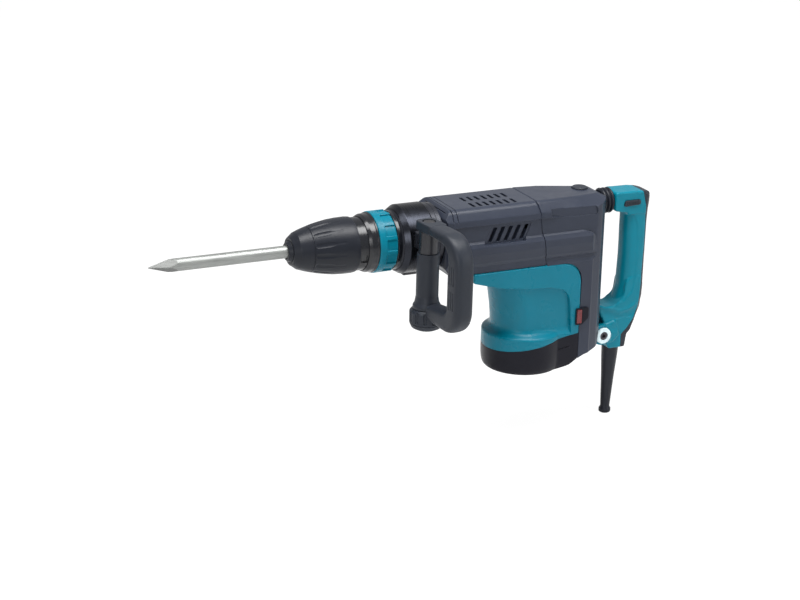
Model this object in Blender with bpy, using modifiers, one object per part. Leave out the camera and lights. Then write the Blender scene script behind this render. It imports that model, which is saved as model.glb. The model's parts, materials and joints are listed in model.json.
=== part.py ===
"""Electric demolition hammer with a bull point chisel, as an assembly of separate pieces.

Metres, +Z up. The chisel points along -X and the near side faces -Y. The origin is at the
centre of the motor cap's underside. Pieces are placed in the tool's own frame, in which x is
counted back from the nose and y = z = 0 is the hammer axis.
"""
import bpy
import bmesh
from math import acos, asin, cos, degrees, pi, radians, sin, sqrt, tan
from mathutils import Matrix

for old in list(bpy.data.objects):
    bpy.data.objects.remove(old, do_unlink=True)

# Overall places
AXIS_HEIGHT = 0.216        # hammer axis above the motor cap's underside
MOTOR_X = 0.371            # motor axis behind the nose
GAP = 0.0003               # space between fitted pieces
WALL = 0.0042              # wall of the moulded housings
WELD = 0.000005            # vertices left this close by a Boolean become one

# Chisel and its lock
SHANK_RADIUS = 0.009
CHISEL_REACH = 0.207       # tip ahead of the nose
POINT_LENGTH = 0.042
CHISEL_SEAT_X = 0.100      # rear end of the shank
CHISEL_PLAY = 0.020
LOCK_X = 0.046             # lock balls
BALL_RADIUS = 0.004
BALL_SINK = 0.0022
COVER_TRAVEL = 0.0085
BALL_LIFT = 0.0025

# Nose
COVER_FRONT_X = -0.002
COVER_REAR_X = 0.090
COVER_RADIUS = 0.041
COVER_NOSE_RADIUS = 0.0195
LIP_FRONT_X = -0.007
SLEEVE_RADIUS = 0.038
COLLAR_FRONT_X = 0.103
COLLAR_RADIUS = 0.0425
RING_FRONT_X = 0.1183
RING_REAR_X = 0.1450
RING_FLANGE_X = 0.1285
RING_RADIUS = 0.0440
RING_ROOT_RADIUS = 0.0422
RING_LUGS = 18
SEAL_RADIUS = 0.0430
BARREL_FRONT_X = 0.1520
BARREL_NOSE_RADIUS = 0.0405
BARREL_RADIUS = 0.0430
FLANGE_FRONT_X = 0.2005
FLANGE_RADIUS = 0.0475
HOLDER_RADIUS = 0.020
HOLDER_REAR_X = 0.171
SPIGOT_RADIUS = 0.030
SPRING_SEAT_X = 0.088

# Hammer mechanism
BOLT_RADIUS = 0.0140
BOLT_REAR_X = 0.178
BOLT_SHOULDER_X = 0.148
BOLT_TRAVEL = 0.004
CYLINDER_RADIUS = 0.026
CYLINDER_BORE = 0.0223
CYLINDER_REAR_X = 0.300
STRIKER_X = 0.190
STRIKER_LENGTH = 0.024
PISTON_CROWN = 0.006
PISTON_SKIRT = 0.014         # behind the wrist pin
CRANK_THROW = 0.012
CRANK_X = 0.336
ROD_LENGTH = 0.056
PISTON_WALL = 0.003
WRIST_RADIUS = 0.0032
WRIST_LENGTH = 0.020
ROD_SMALL_RADIUS = 0.0055
ROD_BIG_RADIUS = 0.011
ROD_THICKNESS = 0.012
ROD_HALF_WIDTH = 0.0045
CRANK_PIN_RADIUS = 0.006
CRANK_DISC_RADIUS = 0.020
CRANK_SHAFT_RADIUS = 0.008

# Gears: teeth and modules
PINION_TEETH = 10
COUNTER_TEETH = 42
COUNTER_PINION_TEETH = 12
CRANK_TEETH = 40
FINE_MODULE = 0.0010
COARSE_MODULE = 0.00125
CRANK_GEAR_Z = -0.036
CRANK_GEAR_WIDTH = 0.010
COUNTER_GEAR_Z = -0.0592
COUNTER_GEAR_WIDTH = 0.008
COUNTER_SHAFT_RADIUS = 0.005
PLATE_BOTTOM_Z = -0.076
PLATE_THICKNESS = 0.012

# Motor
MOTOR_SHAFT_RADIUS = 0.006
ARMATURE_RADIUS = 0.026
ARMATURE_TOP_Z = -0.100
ARMATURE_LENGTH = 0.050
ARMATURE_SLOTS = 12
COMMUTATOR_RADIUS = 0.016
COMMUTATOR_TOP_Z = -0.165
COMMUTATOR_LENGTH = 0.018
FAN_RADIUS = 0.040
FAN_BOTTOM_Z = -0.0935
FAN_HEIGHT = 0.012
FAN_BLADES = 9
FIELD_RADIUS = 0.0428
MOTOR_BEARING_RADIUS = 0.011
MOTOR_BEARING_Z = -0.204
BEARING_WIDTH = 0.009

# Housings
HOUSING_FRONT_X = 0.215
HOUSING_HALF_WIDTH = 0.050
LOWER_HALF_WIDTH = 0.0515
TOP_Z = 0.050
COVER_EDGE_Z = 0.040
BELLY_Z = -0.050
SEAM_TOP_X = 0.364
SEAM_BOTTOM_X = 0.380
REAR_X = 0.489
VENT_FIRST_X = 0.270
VENT_PITCH = 0.011
VENT_COUNT = 7
VENT_WIDTH = 0.0035
VENT_LENGTH = 0.021
LOUVRE_COUNT = 5
LOUVRE_FIRST_X = 0.282
LOUVRE_PITCH = 0.0125
DRUM_RADIUS = 0.050
BASE_RADIUS = 0.062
COLUMN_X = 0.438
CAP_FRONT_Z = -0.187
CAP_REAR_Z = -0.160
DIAL_X = 0.462
DIAL_Y = 0.010
DIAL_RADIUS = 0.012

# Rear handle
PIVOT_X = 0.496
PIVOT_Z = -0.182
PIVOT_RADIUS = 0.016
PIVOT_HALF_WIDTH = 0.024
HANDLE_HALF_WIDTH = 0.019
HANDLE_FRONT_X = 0.508
HANDLE_TOP_Z = 0.040
HANDLE_SPLIT_X = 0.551     # teal shells meet the black pad
HANDLE_REAR_X = 0.5685
GRIP_FRONT_X = 0.525
HANDLE_BOTTOM_Z = -0.198
HAND_TOP_Z = 0.010
HAND_BOTTOM_Z = -0.128
LUG_HALF_WIDTH = 0.010
BELLOWS_Z = 0.022
BELLOWS_RADIUS = 0.0180
BELLOWS_RIBS = 4
GUARD_X = 0.5237
GUARD_TOP_Z = -0.1983     # under the handle
GUARD_LENGTH = 0.1187

# Side handle
SIDE_X = 0.177             # clamp bolt's axis
SIDE_Y = -0.073
SIDE_TURN = 84.0           # degrees from +X towards -Y
SIDE_REACH = 0.085         # bolt axis to grip axis
SIDE_HALF_WIDTH = 0.0145
SIDE_SLEEVE_RADIUS = 0.016
BASE_RING_RADIUS = 0.0495
BASE_FRONT_X = 0.1545
BOSS_RADIUS = 0.0140
BOSS_BOTTOM_Z = 0.0005
BOSS_TOP_Z = 0.0325
CLAMP_BOLT_RADIUS = 0.005
SIDE_TOP_Z = 0.046
SIDE_BOTTOM_Z = -0.092
SADDLE_Z = -0.0810
KNOB_RADIUS = 0.022
KNOB_HEIGHT = 0.031
KNOB_FLUTES = 12

ROUND_STEPS = 24
RING_STEPS = 28
SMALL_STEPS = 12


# ---------------------------------------------------------------- scene and placing
def add_collection(name):
    collection = bpy.data.collections.new(name)
    bpy.context.scene.collection.children.link(collection)
    return collection


PARTS = add_collection("demolition_hammer")
CUTTERS = add_collection("cutters")

TOOL = bpy.data.objects.new("tool_frame", None)
TOOL.location = (-MOTOR_X, 0.0, AXIS_HEIGHT)
PARTS.objects.link(TOOL)

ALONG = {
    "X": Matrix(((0, 0, 1, 0), (0, 1, 0, 0), (-1, 0, 0, 0), (0, 0, 0, 1))),
    "Y": Matrix(((1, 0, 0, 0), (0, 0, 1, 0), (0, -1, 0, 0), (0, 0, 0, 1))),
    "Z": Matrix.Identity(4),
}
FACING = {
    "X": Matrix(((0, 0, 1, 0), (1, 0, 0, 0), (0, 1, 0, 0), (0, 0, 0, 1))),
    "Y": Matrix(((1, 0, 0, 0), (0, 0, -1, 0), (0, 1, 0, 0), (0, 0, 0, 1))),
    "Z": Matrix.Identity(4),
}


def link(name, data, place, parent=None):
    """A new object in the tool frame, or under another parent."""
    obj = bpy.data.objects.new(name, data)
    PARTS.objects.link(obj)
    obj.parent = parent or TOOL
    obj.matrix_basis = place
    return obj


def add_pivot(name, place):
    """An empty on a joint's axis, for the pieces that turn about it."""
    pivot = bpy.data.objects.new(name, None)
    PARTS.objects.link(pivot)
    pivot.parent = TOOL
    pivot.matrix_basis = place
    return pivot


def carry(pivot, names):
    """Hangs finished pieces on a pivot and leaves them where they are."""
    for name in names:
        obj = bpy.data.objects[name]
        obj.parent = pivot
        obj.matrix_parent_inverse = pivot.matrix_basis.inverted()


def as_guide(obj):
    """Turns an object into a cutter, which the finished model leaves out."""
    PARTS.objects.unlink(obj)
    CUTTERS.objects.link(obj)
    obj.hide_render = True
    obj.display_type = "WIRE"
    return obj


def boolean(obj, tool, operation):
    modifier = obj.modifiers.new(operation.lower(), "BOOLEAN")
    modifier.operation = operation
    modifier.solver = "EXACT"
    modifier.object = as_guide(tool)
    weld = obj.modifiers.new("weld", "WELD")
    weld.merge_threshold = WELD
    return obj


def cut(obj, tool):
    return boolean(obj, tool, "DIFFERENCE")


def join(obj, tool):
    return boolean(obj, tool, "UNION")


def keep_common(obj, tool):
    return boolean(obj, tool, "INTERSECT")


def bevel(obj, width, segments=2, angle=40.0):
    modifier = obj.modifiers.new("rounded edges", "BEVEL")
    modifier.width = width
    modifier.segments = segments
    modifier.limit_method = "ANGLE"
    modifier.angle_limit = radians(angle)
    return obj


def paint(obj, name, colour, roughness, metallic=0.0):
    """Gives an object its finish, and smooths the round faces."""
    material = bpy.data.materials.get(name)
    if material is None:
        material = bpy.data.materials.new(name)
        material.use_nodes = True
        shader = material.node_tree.nodes["Principled BSDF"]
        shader.inputs["Base Color"].default_value = (*colour, 1.0)
        shader.inputs["Roughness"].default_value = roughness
        shader.inputs["Metallic"].default_value = metallic
        material.diffuse_color = (*colour, 1.0)
    obj.data.materials.clear()
    obj.data.materials.append(material)
    return obj


def black_plastic(obj):
    return paint(obj, "housing black", (0.035, 0.037, 0.045), 0.45)


def teal_plastic(obj):
    return paint(obj, "housing teal", (0.0, 0.19, 0.26), 0.38)


def rubber(obj):
    return paint(obj, "soft black", (0.02, 0.021, 0.024), 0.75)


def steel(obj):
    return paint(obj, "steel", (0.55, 0.56, 0.57), 0.3, 1.0)


def dark_steel(obj):
    return paint(obj, "dark steel", (0.09, 0.09, 0.10), 0.4, 1.0)


def alloy(obj):
    return paint(obj, "cast alloy", (0.62, 0.63, 0.64), 0.4, 1.0)


def copper(obj):
    return paint(obj, "copper", (0.72, 0.35, 0.16), 0.35, 1.0)


def brass(obj):
    return paint(obj, "brass", (0.70, 0.52, 0.20), 0.35, 1.0)


# ---------------------------------------------------------------- shapes
def signed_area(points):
    pairs = zip(points, points[1:] + points[:1])
    return 0.5 * sum(a[0] * b[1] - b[0] * a[1] for a, b in pairs)


def turned(name, profile, axis="X", at=(0.0, 0.0, 0.0), steps=ROUND_STEPS, parent=None):
    """A solid of revolution: profile is a closed list of (place along the axis, radius)."""
    points = [(radius, along) for along, radius in profile]
    if signed_area(points) > 0.0:
        points.reverse()
    on_axis = [i for i, (radius, _) in enumerate(points) if radius == 0.0]
    if on_axis:
        last = next(i for i in on_axis if points[i - 1][0] > 0.0)
        points = points[last + 1:] + points[:last + 1]
    mesh = bpy.data.meshes.new(name)
    edges = [(i, i + 1) for i in range(len(points) - 1)]
    if not on_axis:
        edges.append((len(points) - 1, 0))
    mesh.from_pydata([(r, 0.0, z) for r, z in points], edges, [])
    obj = link(name, mesh, Matrix.Translation(at) @ ALONG[axis], parent)
    screw = obj.modifiers.new("turned", "SCREW")
    screw.axis = "Z"
    screw.steps = steps
    screw.render_steps = steps
    screw.use_merge_vertices = True
    screw.merge_threshold = 0.00001
    screw.use_smooth_shade = True
    return obj


def tube(name, start, end, outer, inner=0.0, axis="X", at=(0.0, 0.0, 0.0), steps=ROUND_STEPS):
    """A plain round bar or tube."""
    profile = [(start, inner), (start, outer), (end, outer), (end, inner)]
    return turned(name, profile, axis, at, steps)


def arc(centre, radius, start, end, steps):
    """Points on a circle, angles in degrees."""
    turns = [radians(start + (end - start) * i / steps) for i in range(steps + 1)]
    return [(centre[0] + radius * cos(t), centre[1] + radius * sin(t)) for t in turns]


def rounded(corners, fine=0):
    """An outline whose corners (x, y, radius) are filleted; (x, y) stays sharp."""
    outline = []
    for i, corner in enumerate(corners):
        x, y = corner[:2]
        radius = corner[2] if len(corner) > 2 else 0.0
        if radius == 0.0:
            outline.append((x, y))
            continue
        before, after = corners[i - 1], corners[(i + 1) % len(corners)]
        to_a, to_b = (before[0] - x, before[1] - y), (after[0] - x, after[1] - y)
        long_a, long_b = sqrt(to_a[0] ** 2 + to_a[1] ** 2), sqrt(to_b[0] ** 2 + to_b[1] ** 2)
        a = (to_a[0] / long_a, to_a[1] / long_a)
        b = (to_b[0] / long_b, to_b[1] / long_b)
        half = acos(max(-1.0, min(1.0, a[0] * b[0] + a[1] * b[1]))) / 2.0
        reach = min(radius / tan(half), 0.48 * long_a, 0.48 * long_b)
        start, end = (x + a[0] * reach, y + a[1] * reach), (x + b[0] * reach, y + b[1] * reach)
        steps = fine or (2 if radius < 0.007 else 3)
        for k in range(steps + 1):
            t = k / steps
            u, v, w = (1 - t) ** 2, 2 * t * (1 - t), t ** 2
            weight = cos(pi / 2 - half)
            scale = u + v * weight + w
            outline.append(((u * start[0] + v * weight * x + w * end[0]) / scale,
                            (u * start[1] + v * weight * y + w * end[1]) / scale))
    return outline


def prism(name, outlines, axis, low, high, at=(0.0, 0.0, 0.0), parent=None):
    """A flat outline, or several with holes, drawn out along an axis from low to high.

    Outline points are (y, z) along X, (x, z) along Y and (x, y) along Z.
    """
    curve = bpy.data.curves.new(name, "CURVE")
    curve.dimensions = "2D"
    curve.fill_mode = "BOTH"
    curve.extrude = (high - low) / 2.0
    for outline in outlines:
        spline = curve.splines.new("POLY")
        spline.points.add(len(outline) - 1)
        for point, (a, b) in zip(spline.points, outline):
            point.co = (a, b, 0.0, 1.0)
        spline.use_cyclic_u = True
    drawn = bpy.data.objects.new(name, curve)
    CUTTERS.objects.link(drawn)
    mesh = bpy.data.meshes.new_from_object(drawn.evaluated_get(bpy.context.evaluated_depsgraph_get()))
    bpy.data.objects.remove(drawn)
    bpy.data.curves.remove(curve)
    shape = bmesh.new()
    shape.from_mesh(mesh)
    bmesh.ops.remove_doubles(shape, verts=shape.verts, dist=0.000005)
    bmesh.ops.dissolve_limit(shape, angle_limit=radians(0.5), verts=shape.verts, edges=shape.edges)
    bmesh.ops.recalc_face_normals(shape, faces=shape.faces)
    shape.to_mesh(mesh)
    shape.free()
    middle = (low + high) / 2.0
    offset = {"X": (middle, 0, 0), "Y": (0, middle, 0), "Z": (0, 0, middle)}[axis]
    place = Matrix.Translation(at) @ Matrix.Translation(offset) @ FACING[axis]
    return link(name, mesh, place, parent)


def box(name, low, high, parent=None):
    """A plain block between two corners."""
    mesh = bpy.data.meshes.new(name)
    shape = bmesh.new()
    bmesh.ops.create_cube(shape, size=1.0)
    size = [b - a for a, b in zip(low, high)]
    bmesh.ops.scale(shape, vec=size, verts=shape.verts)
    shape.to_mesh(mesh)
    shape.free()
    middle = [(a + b) / 2.0 for a, b in zip(low, high)]
    return link(name, mesh, Matrix.Translation(middle), parent)


def coil(name, start, end, radius, wire, turns, at=(0.0, 0.0, 0.0)):
    """A compression spring along X."""
    per_turn = 8
    curve = bpy.data.curves.new(name, "CURVE")
    curve.dimensions = "3D"
    curve.bevel_depth = wire
    curve.bevel_resolution = 1
    curve.use_fill_caps = True
    spline = curve.splines.new("POLY")
    count = turns * per_turn + 1
    spline.points.add(count - 1)
    for i, point in enumerate(spline.points):
        turn = 2.0 * pi * i / per_turn
        along = start + wire + (end - start - 2.0 * wire) * i / (count - 1)
        point.co = (along, radius * cos(turn), radius * sin(turn), 1.0)
    gap = (end - start - 2.0 * wire) / turns - 2.0 * wire
    print(f"{name}: least gap between turns {gap * 1000:.2f} mm")
    return link(name, curve, Matrix.Translation(at))


def gear_outline(teeth, module, bore, phase=0.0):
    """Spur gear outline with tapered teeth, and its bore."""
    pitch = teeth * module / 2.0
    tip, root = pitch + 0.9 * module, pitch - 1.2 * module
    step = 2.0 * pi / teeth
    flanks = ((root, -0.29), (tip, -0.13), (tip, 0.13), (root, 0.29))
    outline = []
    for tooth in range(teeth):
        for radius, share in flanks:
            turn = phase + (tooth + share) * step
            outline.append((radius * cos(turn), radius * sin(turn)))
    return [outline, arc((0.0, 0.0), bore, 0.0, 360.0, SMALL_STEPS)[:-1]]


# ---------------------------------------------------------------- chisel, lock and nose
HOLDER_BORE = SHANK_RADIUS + GAP
BALL_CENTRE = SHANK_RADIUS - BALL_SINK + BALL_RADIUS
LAND_RADIUS = BALL_CENTRE + BALL_RADIUS + GAP
NOSE_RADIUS = LAND_RADIUS - GAP
LAND_REAR_X = LOCK_X + 0.0117
SLEEVE_FRONT_X = LAND_REAR_X + COVER_TRAVEL + 0.003
SLEEVE_BORE = SLEEVE_RADIUS - 0.0035
HOLDER_FRONT_X = COVER_FRONT_X + 0.004
SEAT_REAR_X = SPRING_SEAT_X + 0.004
BOLT_CHAMBER_X = CHISEL_SEAT_X + 0.004
BOLT_BORE = BOLT_RADIUS + GAP
DAMPER_X = BOLT_SHOULDER_X + BOLT_TRAVEL + 2 * GAP


def make_chisel():
    chisel = turned("chisel", [(-CHISEL_REACH, 0.0), (-CHISEL_REACH, SHANK_RADIUS),
                               (CHISEL_SEAT_X - 0.001, SHANK_RADIUS), (CHISEL_SEAT_X, SHANK_RADIUS - 0.001),
                               (CHISEL_SEAT_X, 0.0)], steps=16)
    length = CHISEL_REACH + CHISEL_SEAT_X + 0.02
    half = SHANK_RADIUS * length / POINT_LENGTH * sqrt(2.0)
    mesh = bpy.data.meshes.new("point")
    shape = bmesh.new()
    bmesh.ops.create_cone(shape, cap_ends=True, segments=4, radius1=0.0006, radius2=half, depth=length)
    shape.to_mesh(mesh)
    shape.free()
    place = Matrix.Translation((-CHISEL_REACH + length / 2.0, 0, 0)) @ ALONG["X"]
    keep_common(chisel, link("point", mesh, place))
    clear = BALL_RADIUS + GAP
    floor = BALL_CENTRE - clear
    for side in (-1, 1):
        low = (LOCK_X - clear, -clear, min(side * floor, side * 0.012))
        high = (LOCK_X + clear + CHISEL_PLAY, clear, max(side * floor, side * 0.012))
        cut(chisel, bevel(box("pocket", low, high), 0.002, 2, 60.0))
    steel(chisel)


def make_balls():
    for name, side in (("lock_ball_upper", 1), ("lock_ball_lower", -1)):
        mesh = bpy.data.meshes.new(name)
        shape = bmesh.new()
        bmesh.ops.create_uvsphere(shape, u_segments=10, v_segments=6, radius=BALL_RADIUS)
        shape.to_mesh(mesh)
        shape.free()
        mesh.shade_smooth()
        steel(link(name, mesh, Matrix.Translation((LOCK_X, 0.0, side * BALL_CENTRE))))


def make_nose():
    holder = turned("tool_holder", [
        (HOLDER_FRONT_X, HOLDER_BORE), (HOLDER_FRONT_X, NOSE_RADIUS), (SPRING_SEAT_X, NOSE_RADIUS),
        (SPRING_SEAT_X, SPIGOT_RADIUS), (SEAT_REAR_X, SPIGOT_RADIUS), (SEAT_REAR_X, HOLDER_RADIUS),
        (HOLDER_REAR_X, HOLDER_RADIUS), (HOLDER_REAR_X, BOLT_BORE), (BOLT_CHAMBER_X, BOLT_BORE),
        (BOLT_CHAMBER_X, HOLDER_BORE)])
    ball_hole = BALL_RADIUS + GAP
    cut(holder, tube("ball_hole", -0.019, 0.019, ball_hole, axis="Z", at=(LOCK_X, 0, 0), steps=SMALL_STEPS))
    dark_steel(holder)

    rubber(turned("dust_cap", [
        (LIP_FRONT_X, SHANK_RADIUS + 0.001), (LIP_FRONT_X, 0.0125), (COVER_FRONT_X, 0.0158),
        (HOLDER_FRONT_X - GAP, 0.0158), (HOLDER_FRONT_X - GAP, SHANK_RADIUS + GAP)], steps=16))

    front_bore = NOSE_RADIUS + 0.0015
    recess = LAND_RADIUS + BALL_LIFT + 0.0005
    cone_x = LOCK_X - COVER_TRAVEL - 0.002
    rear_bore = SLEEVE_RADIUS + GAP
    step_x = SLEEVE_FRONT_X - COVER_TRAVEL - 0.0006
    cover = [
        (COVER_FRONT_X, front_bore), (COVER_FRONT_X, COVER_NOSE_RADIUS), (0.003, 0.0235), (0.010, 0.0270),
        (0.030, 0.0330), (0.050, 0.0381), (0.066, COVER_RADIUS - 0.0003), (COVER_REAR_X, COVER_RADIUS),
        (COVER_REAR_X, rear_bore), (step_x, rear_bore), (step_x, SLEEVE_BORE), (LAND_REAR_X, SLEEVE_BORE - 0.003),
        (LAND_REAR_X, LAND_RADIUS), (LOCK_X, LAND_RADIUS), (cone_x, recess), (cone_x - 0.003, recess),
        (cone_x - 0.003, front_bore)]
    rubber(turned("release_cover", cover))

    sleeve = turned("holder_sleeve", [
        (SLEEVE_FRONT_X, SLEEVE_BORE), (SLEEVE_FRONT_X, SLEEVE_RADIUS), (RING_REAR_X + GAP, SLEEVE_RADIUS),
        (RING_REAR_X + GAP, HOLDER_RADIUS + GAP), (RING_REAR_X - 0.006, HOLDER_RADIUS + GAP),
        (RING_REAR_X - 0.006, SLEEVE_BORE)])
    rubber(sleeve)
    steel(coil("release_spring", LAND_REAR_X + GAP, SPRING_SEAT_X - GAP, 0.0245, 0.0014, 5))

    slide_bore = SLEEVE_RADIUS + GAP
    rubber(turned("change_ring_collar", [
        (COLLAR_FRONT_X, slide_bore), (COLLAR_FRONT_X, COLLAR_RADIUS - 0.0015),
        (COLLAR_FRONT_X + 0.002, COLLAR_RADIUS), (RING_FRONT_X - 0.002, COLLAR_RADIUS),
        (RING_FRONT_X - GAP, COLLAR_RADIUS - 0.001), (RING_FRONT_X - GAP, slide_bore)]))

    ring = turned("change_ring", [
        (RING_FRONT_X, slide_bore), (RING_FRONT_X, RING_RADIUS - 0.0008), (RING_FRONT_X + 0.002, RING_RADIUS),
        (RING_FLANGE_X, RING_RADIUS), (RING_FLANGE_X + 0.001, RING_ROOT_RADIUS),
        (RING_REAR_X, RING_ROOT_RADIUS), (RING_REAR_X, slide_bore)], steps=24)
    lug_step = 360.0 / RING_LUGS
    lugs = []
    for i in range(RING_LUGS):
        lugs += arc((0, 0), RING_RADIUS, (i - 0.36) * lug_step, (i + 0.36) * lug_step, 1)
        lugs += arc((0, 0), RING_ROOT_RADIUS - 0.0007, (i + 0.40) * lug_step, (i + 0.60) * lug_step, 1)
    bore = arc((0, 0), slide_bore + 0.001, 0, 360, 36)[:-1]
    join(ring, prism("lugs", [lugs, bore], "X", RING_FLANGE_X - 0.001, RING_REAR_X))
    teal_plastic(ring)

    rubber(turned("barrel_seal", [
        (RING_REAR_X + 2 * GAP + 0.0004, SPIGOT_RADIUS + GAP), (RING_REAR_X + 0.001, SEAL_RADIUS - 0.001),
        (RING_REAR_X + 0.002, SEAL_RADIUS), (BARREL_FRONT_X - 0.001, SEAL_RADIUS),
        (BARREL_FRONT_X - GAP, SEAL_RADIUS - 0.001), (BARREL_FRONT_X - GAP, SPIGOT_RADIUS + GAP)]))


# ---------------------------------------------------------------- barrel and hammer mechanism
PISTON_RADIUS = CYLINDER_BORE - GAP
ROD_PIN_X = CRANK_X + CRANK_THROW
WRIST_X = ROD_PIN_X - ROD_LENGTH
PISTON_INNER_X = WRIST_X - ROD_SMALL_RADIUS - 2 * CRANK_THROW - 0.0015
PISTON_FRONT_X = PISTON_INNER_X - PISTON_CROWN
PISTON_REAR_X = WRIST_X + PISTON_SKIRT
BARREL_REAR_X = HOUSING_FRONT_X - GAP
FRONT_WALL_X = HOUSING_FRONT_X + 0.006


def make_barrel():
    barrel = turned("barrel", [
        (RING_REAR_X + 0.0015, HOLDER_RADIUS + GAP), (RING_REAR_X + 0.0015, SPIGOT_RADIUS),
        (BARREL_FRONT_X, SPIGOT_RADIUS), (BARREL_FRONT_X, BARREL_NOSE_RADIUS),
        (BARREL_FRONT_X + 0.002, BARREL_RADIUS), (FLANGE_FRONT_X + GAP, BARREL_RADIUS),
        (FLANGE_FRONT_X + GAP, FLANGE_RADIUS - 0.001), (FLANGE_FRONT_X + 0.001, FLANGE_RADIUS),
        (BARREL_REAR_X, FLANGE_RADIUS), (BARREL_REAR_X, CYLINDER_RADIUS + GAP),
        (HOLDER_REAR_X + GAP, CYLINDER_RADIUS + GAP), (HOLDER_REAR_X + GAP, HOLDER_RADIUS + GAP)], steps=RING_STEPS)
    dark_steel(barrel)


def make_mechanism():
    steel(turned("impact_bolt", [
        (CHISEL_SEAT_X + GAP, 0.0), (CHISEL_SEAT_X + GAP, SHANK_RADIUS - 0.0006),
        (BOLT_CHAMBER_X + GAP, SHANK_RADIUS - 0.0006), (BOLT_CHAMBER_X + GAP, BOLT_RADIUS),
        (BOLT_SHOULDER_X, BOLT_RADIUS), (BOLT_SHOULDER_X, SHANK_RADIUS), (BOLT_REAR_X, SHANK_RADIUS),
        (BOLT_REAR_X, 0.0)], steps=16))
    rubber(tube("impact_damper", DAMPER_X, HOLDER_REAR_X - 0.004, BOLT_RADIUS, SHANK_RADIUS + GAP, steps=16))
    cylinder = tube("cylinder", HOLDER_REAR_X + 2 * GAP, CYLINDER_REAR_X, CYLINDER_RADIUS, CYLINDER_BORE)
    steel(cylinder)
    nose_x = BOLT_REAR_X + BOLT_TRAVEL + 2 * GAP
    striker_radius = CYLINDER_BORE - GAP
    striker_rear_x = STRIKER_X + STRIKER_LENGTH
    steel(turned("striker", [
        (nose_x, 0.0), (nose_x, 0.008), (STRIKER_X, 0.010), (STRIKER_X, striker_radius),
        (striker_rear_x, striker_radius), (striker_rear_x, 0.0)], steps=16))
    inner = PISTON_RADIUS - PISTON_WALL
    steel(turned("piston", [
        (PISTON_FRONT_X, 0.0), (PISTON_FRONT_X, PISTON_RADIUS), (PISTON_REAR_X, PISTON_RADIUS),
        (PISTON_REAR_X, inner), (PISTON_INNER_X, inner), (PISTON_INNER_X, 0.0)], steps=16))

    half = ROD_THICKNESS / 2.0
    big_turn = 180.0 - degrees(asin(ROD_HALF_WIDTH / ROD_BIG_RADIUS))
    small_turn = degrees(asin(ROD_HALF_WIDTH / ROD_SMALL_RADIUS))
    big = arc((0.0, 0.0), ROD_BIG_RADIUS, -big_turn, big_turn, 14)
    small = arc((-ROD_LENGTH, 0.0), ROD_SMALL_RADIUS, small_turn, 360.0 - small_turn, 10)
    rod = prism("connecting_rod", [big + small], "Z", -half, half, at=(ROD_PIN_X, 0, 0))
    cut(rod, tube("pin_hole", -0.02, 0.02, CRANK_PIN_RADIUS + GAP, axis="Z", at=(ROD_PIN_X, 0, 0), steps=16))
    cut(rod, tube("wrist_hole", -0.02, 0.02, WRIST_RADIUS + GAP, axis="Z", at=(WRIST_X, 0, 0), steps=12))
    steel(rod)
    steel(tube("wrist_pin", -WRIST_LENGTH / 2, WRIST_LENGTH / 2, WRIST_RADIUS, axis="Z",
               at=(WRIST_X, 0, 0), steps=12))


# ---------------------------------------------------------------- gears
COARSE_CENTRES = COARSE_MODULE * (CRANK_TEETH + COUNTER_PINION_TEETH) / 2.0
FINE_CENTRES = FINE_MODULE * (COUNTER_TEETH + PINION_TEETH) / 2.0
MOTOR_TO_CRANK = MOTOR_X - CRANK_X
COUNTER_BACK = (COARSE_CENTRES ** 2 - FINE_CENTRES ** 2 + MOTOR_TO_CRANK ** 2) / (2.0 * MOTOR_TO_CRANK)
COUNTER_X = CRANK_X + COUNTER_BACK
COUNTER_Y = sqrt(COARSE_CENTRES ** 2 - COUNTER_BACK ** 2)
PLATE_TOP_Z = PLATE_BOTTOM_Z + PLATE_THICKNESS
PLATE_BEARING_RADIUS = 0.0135


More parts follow.
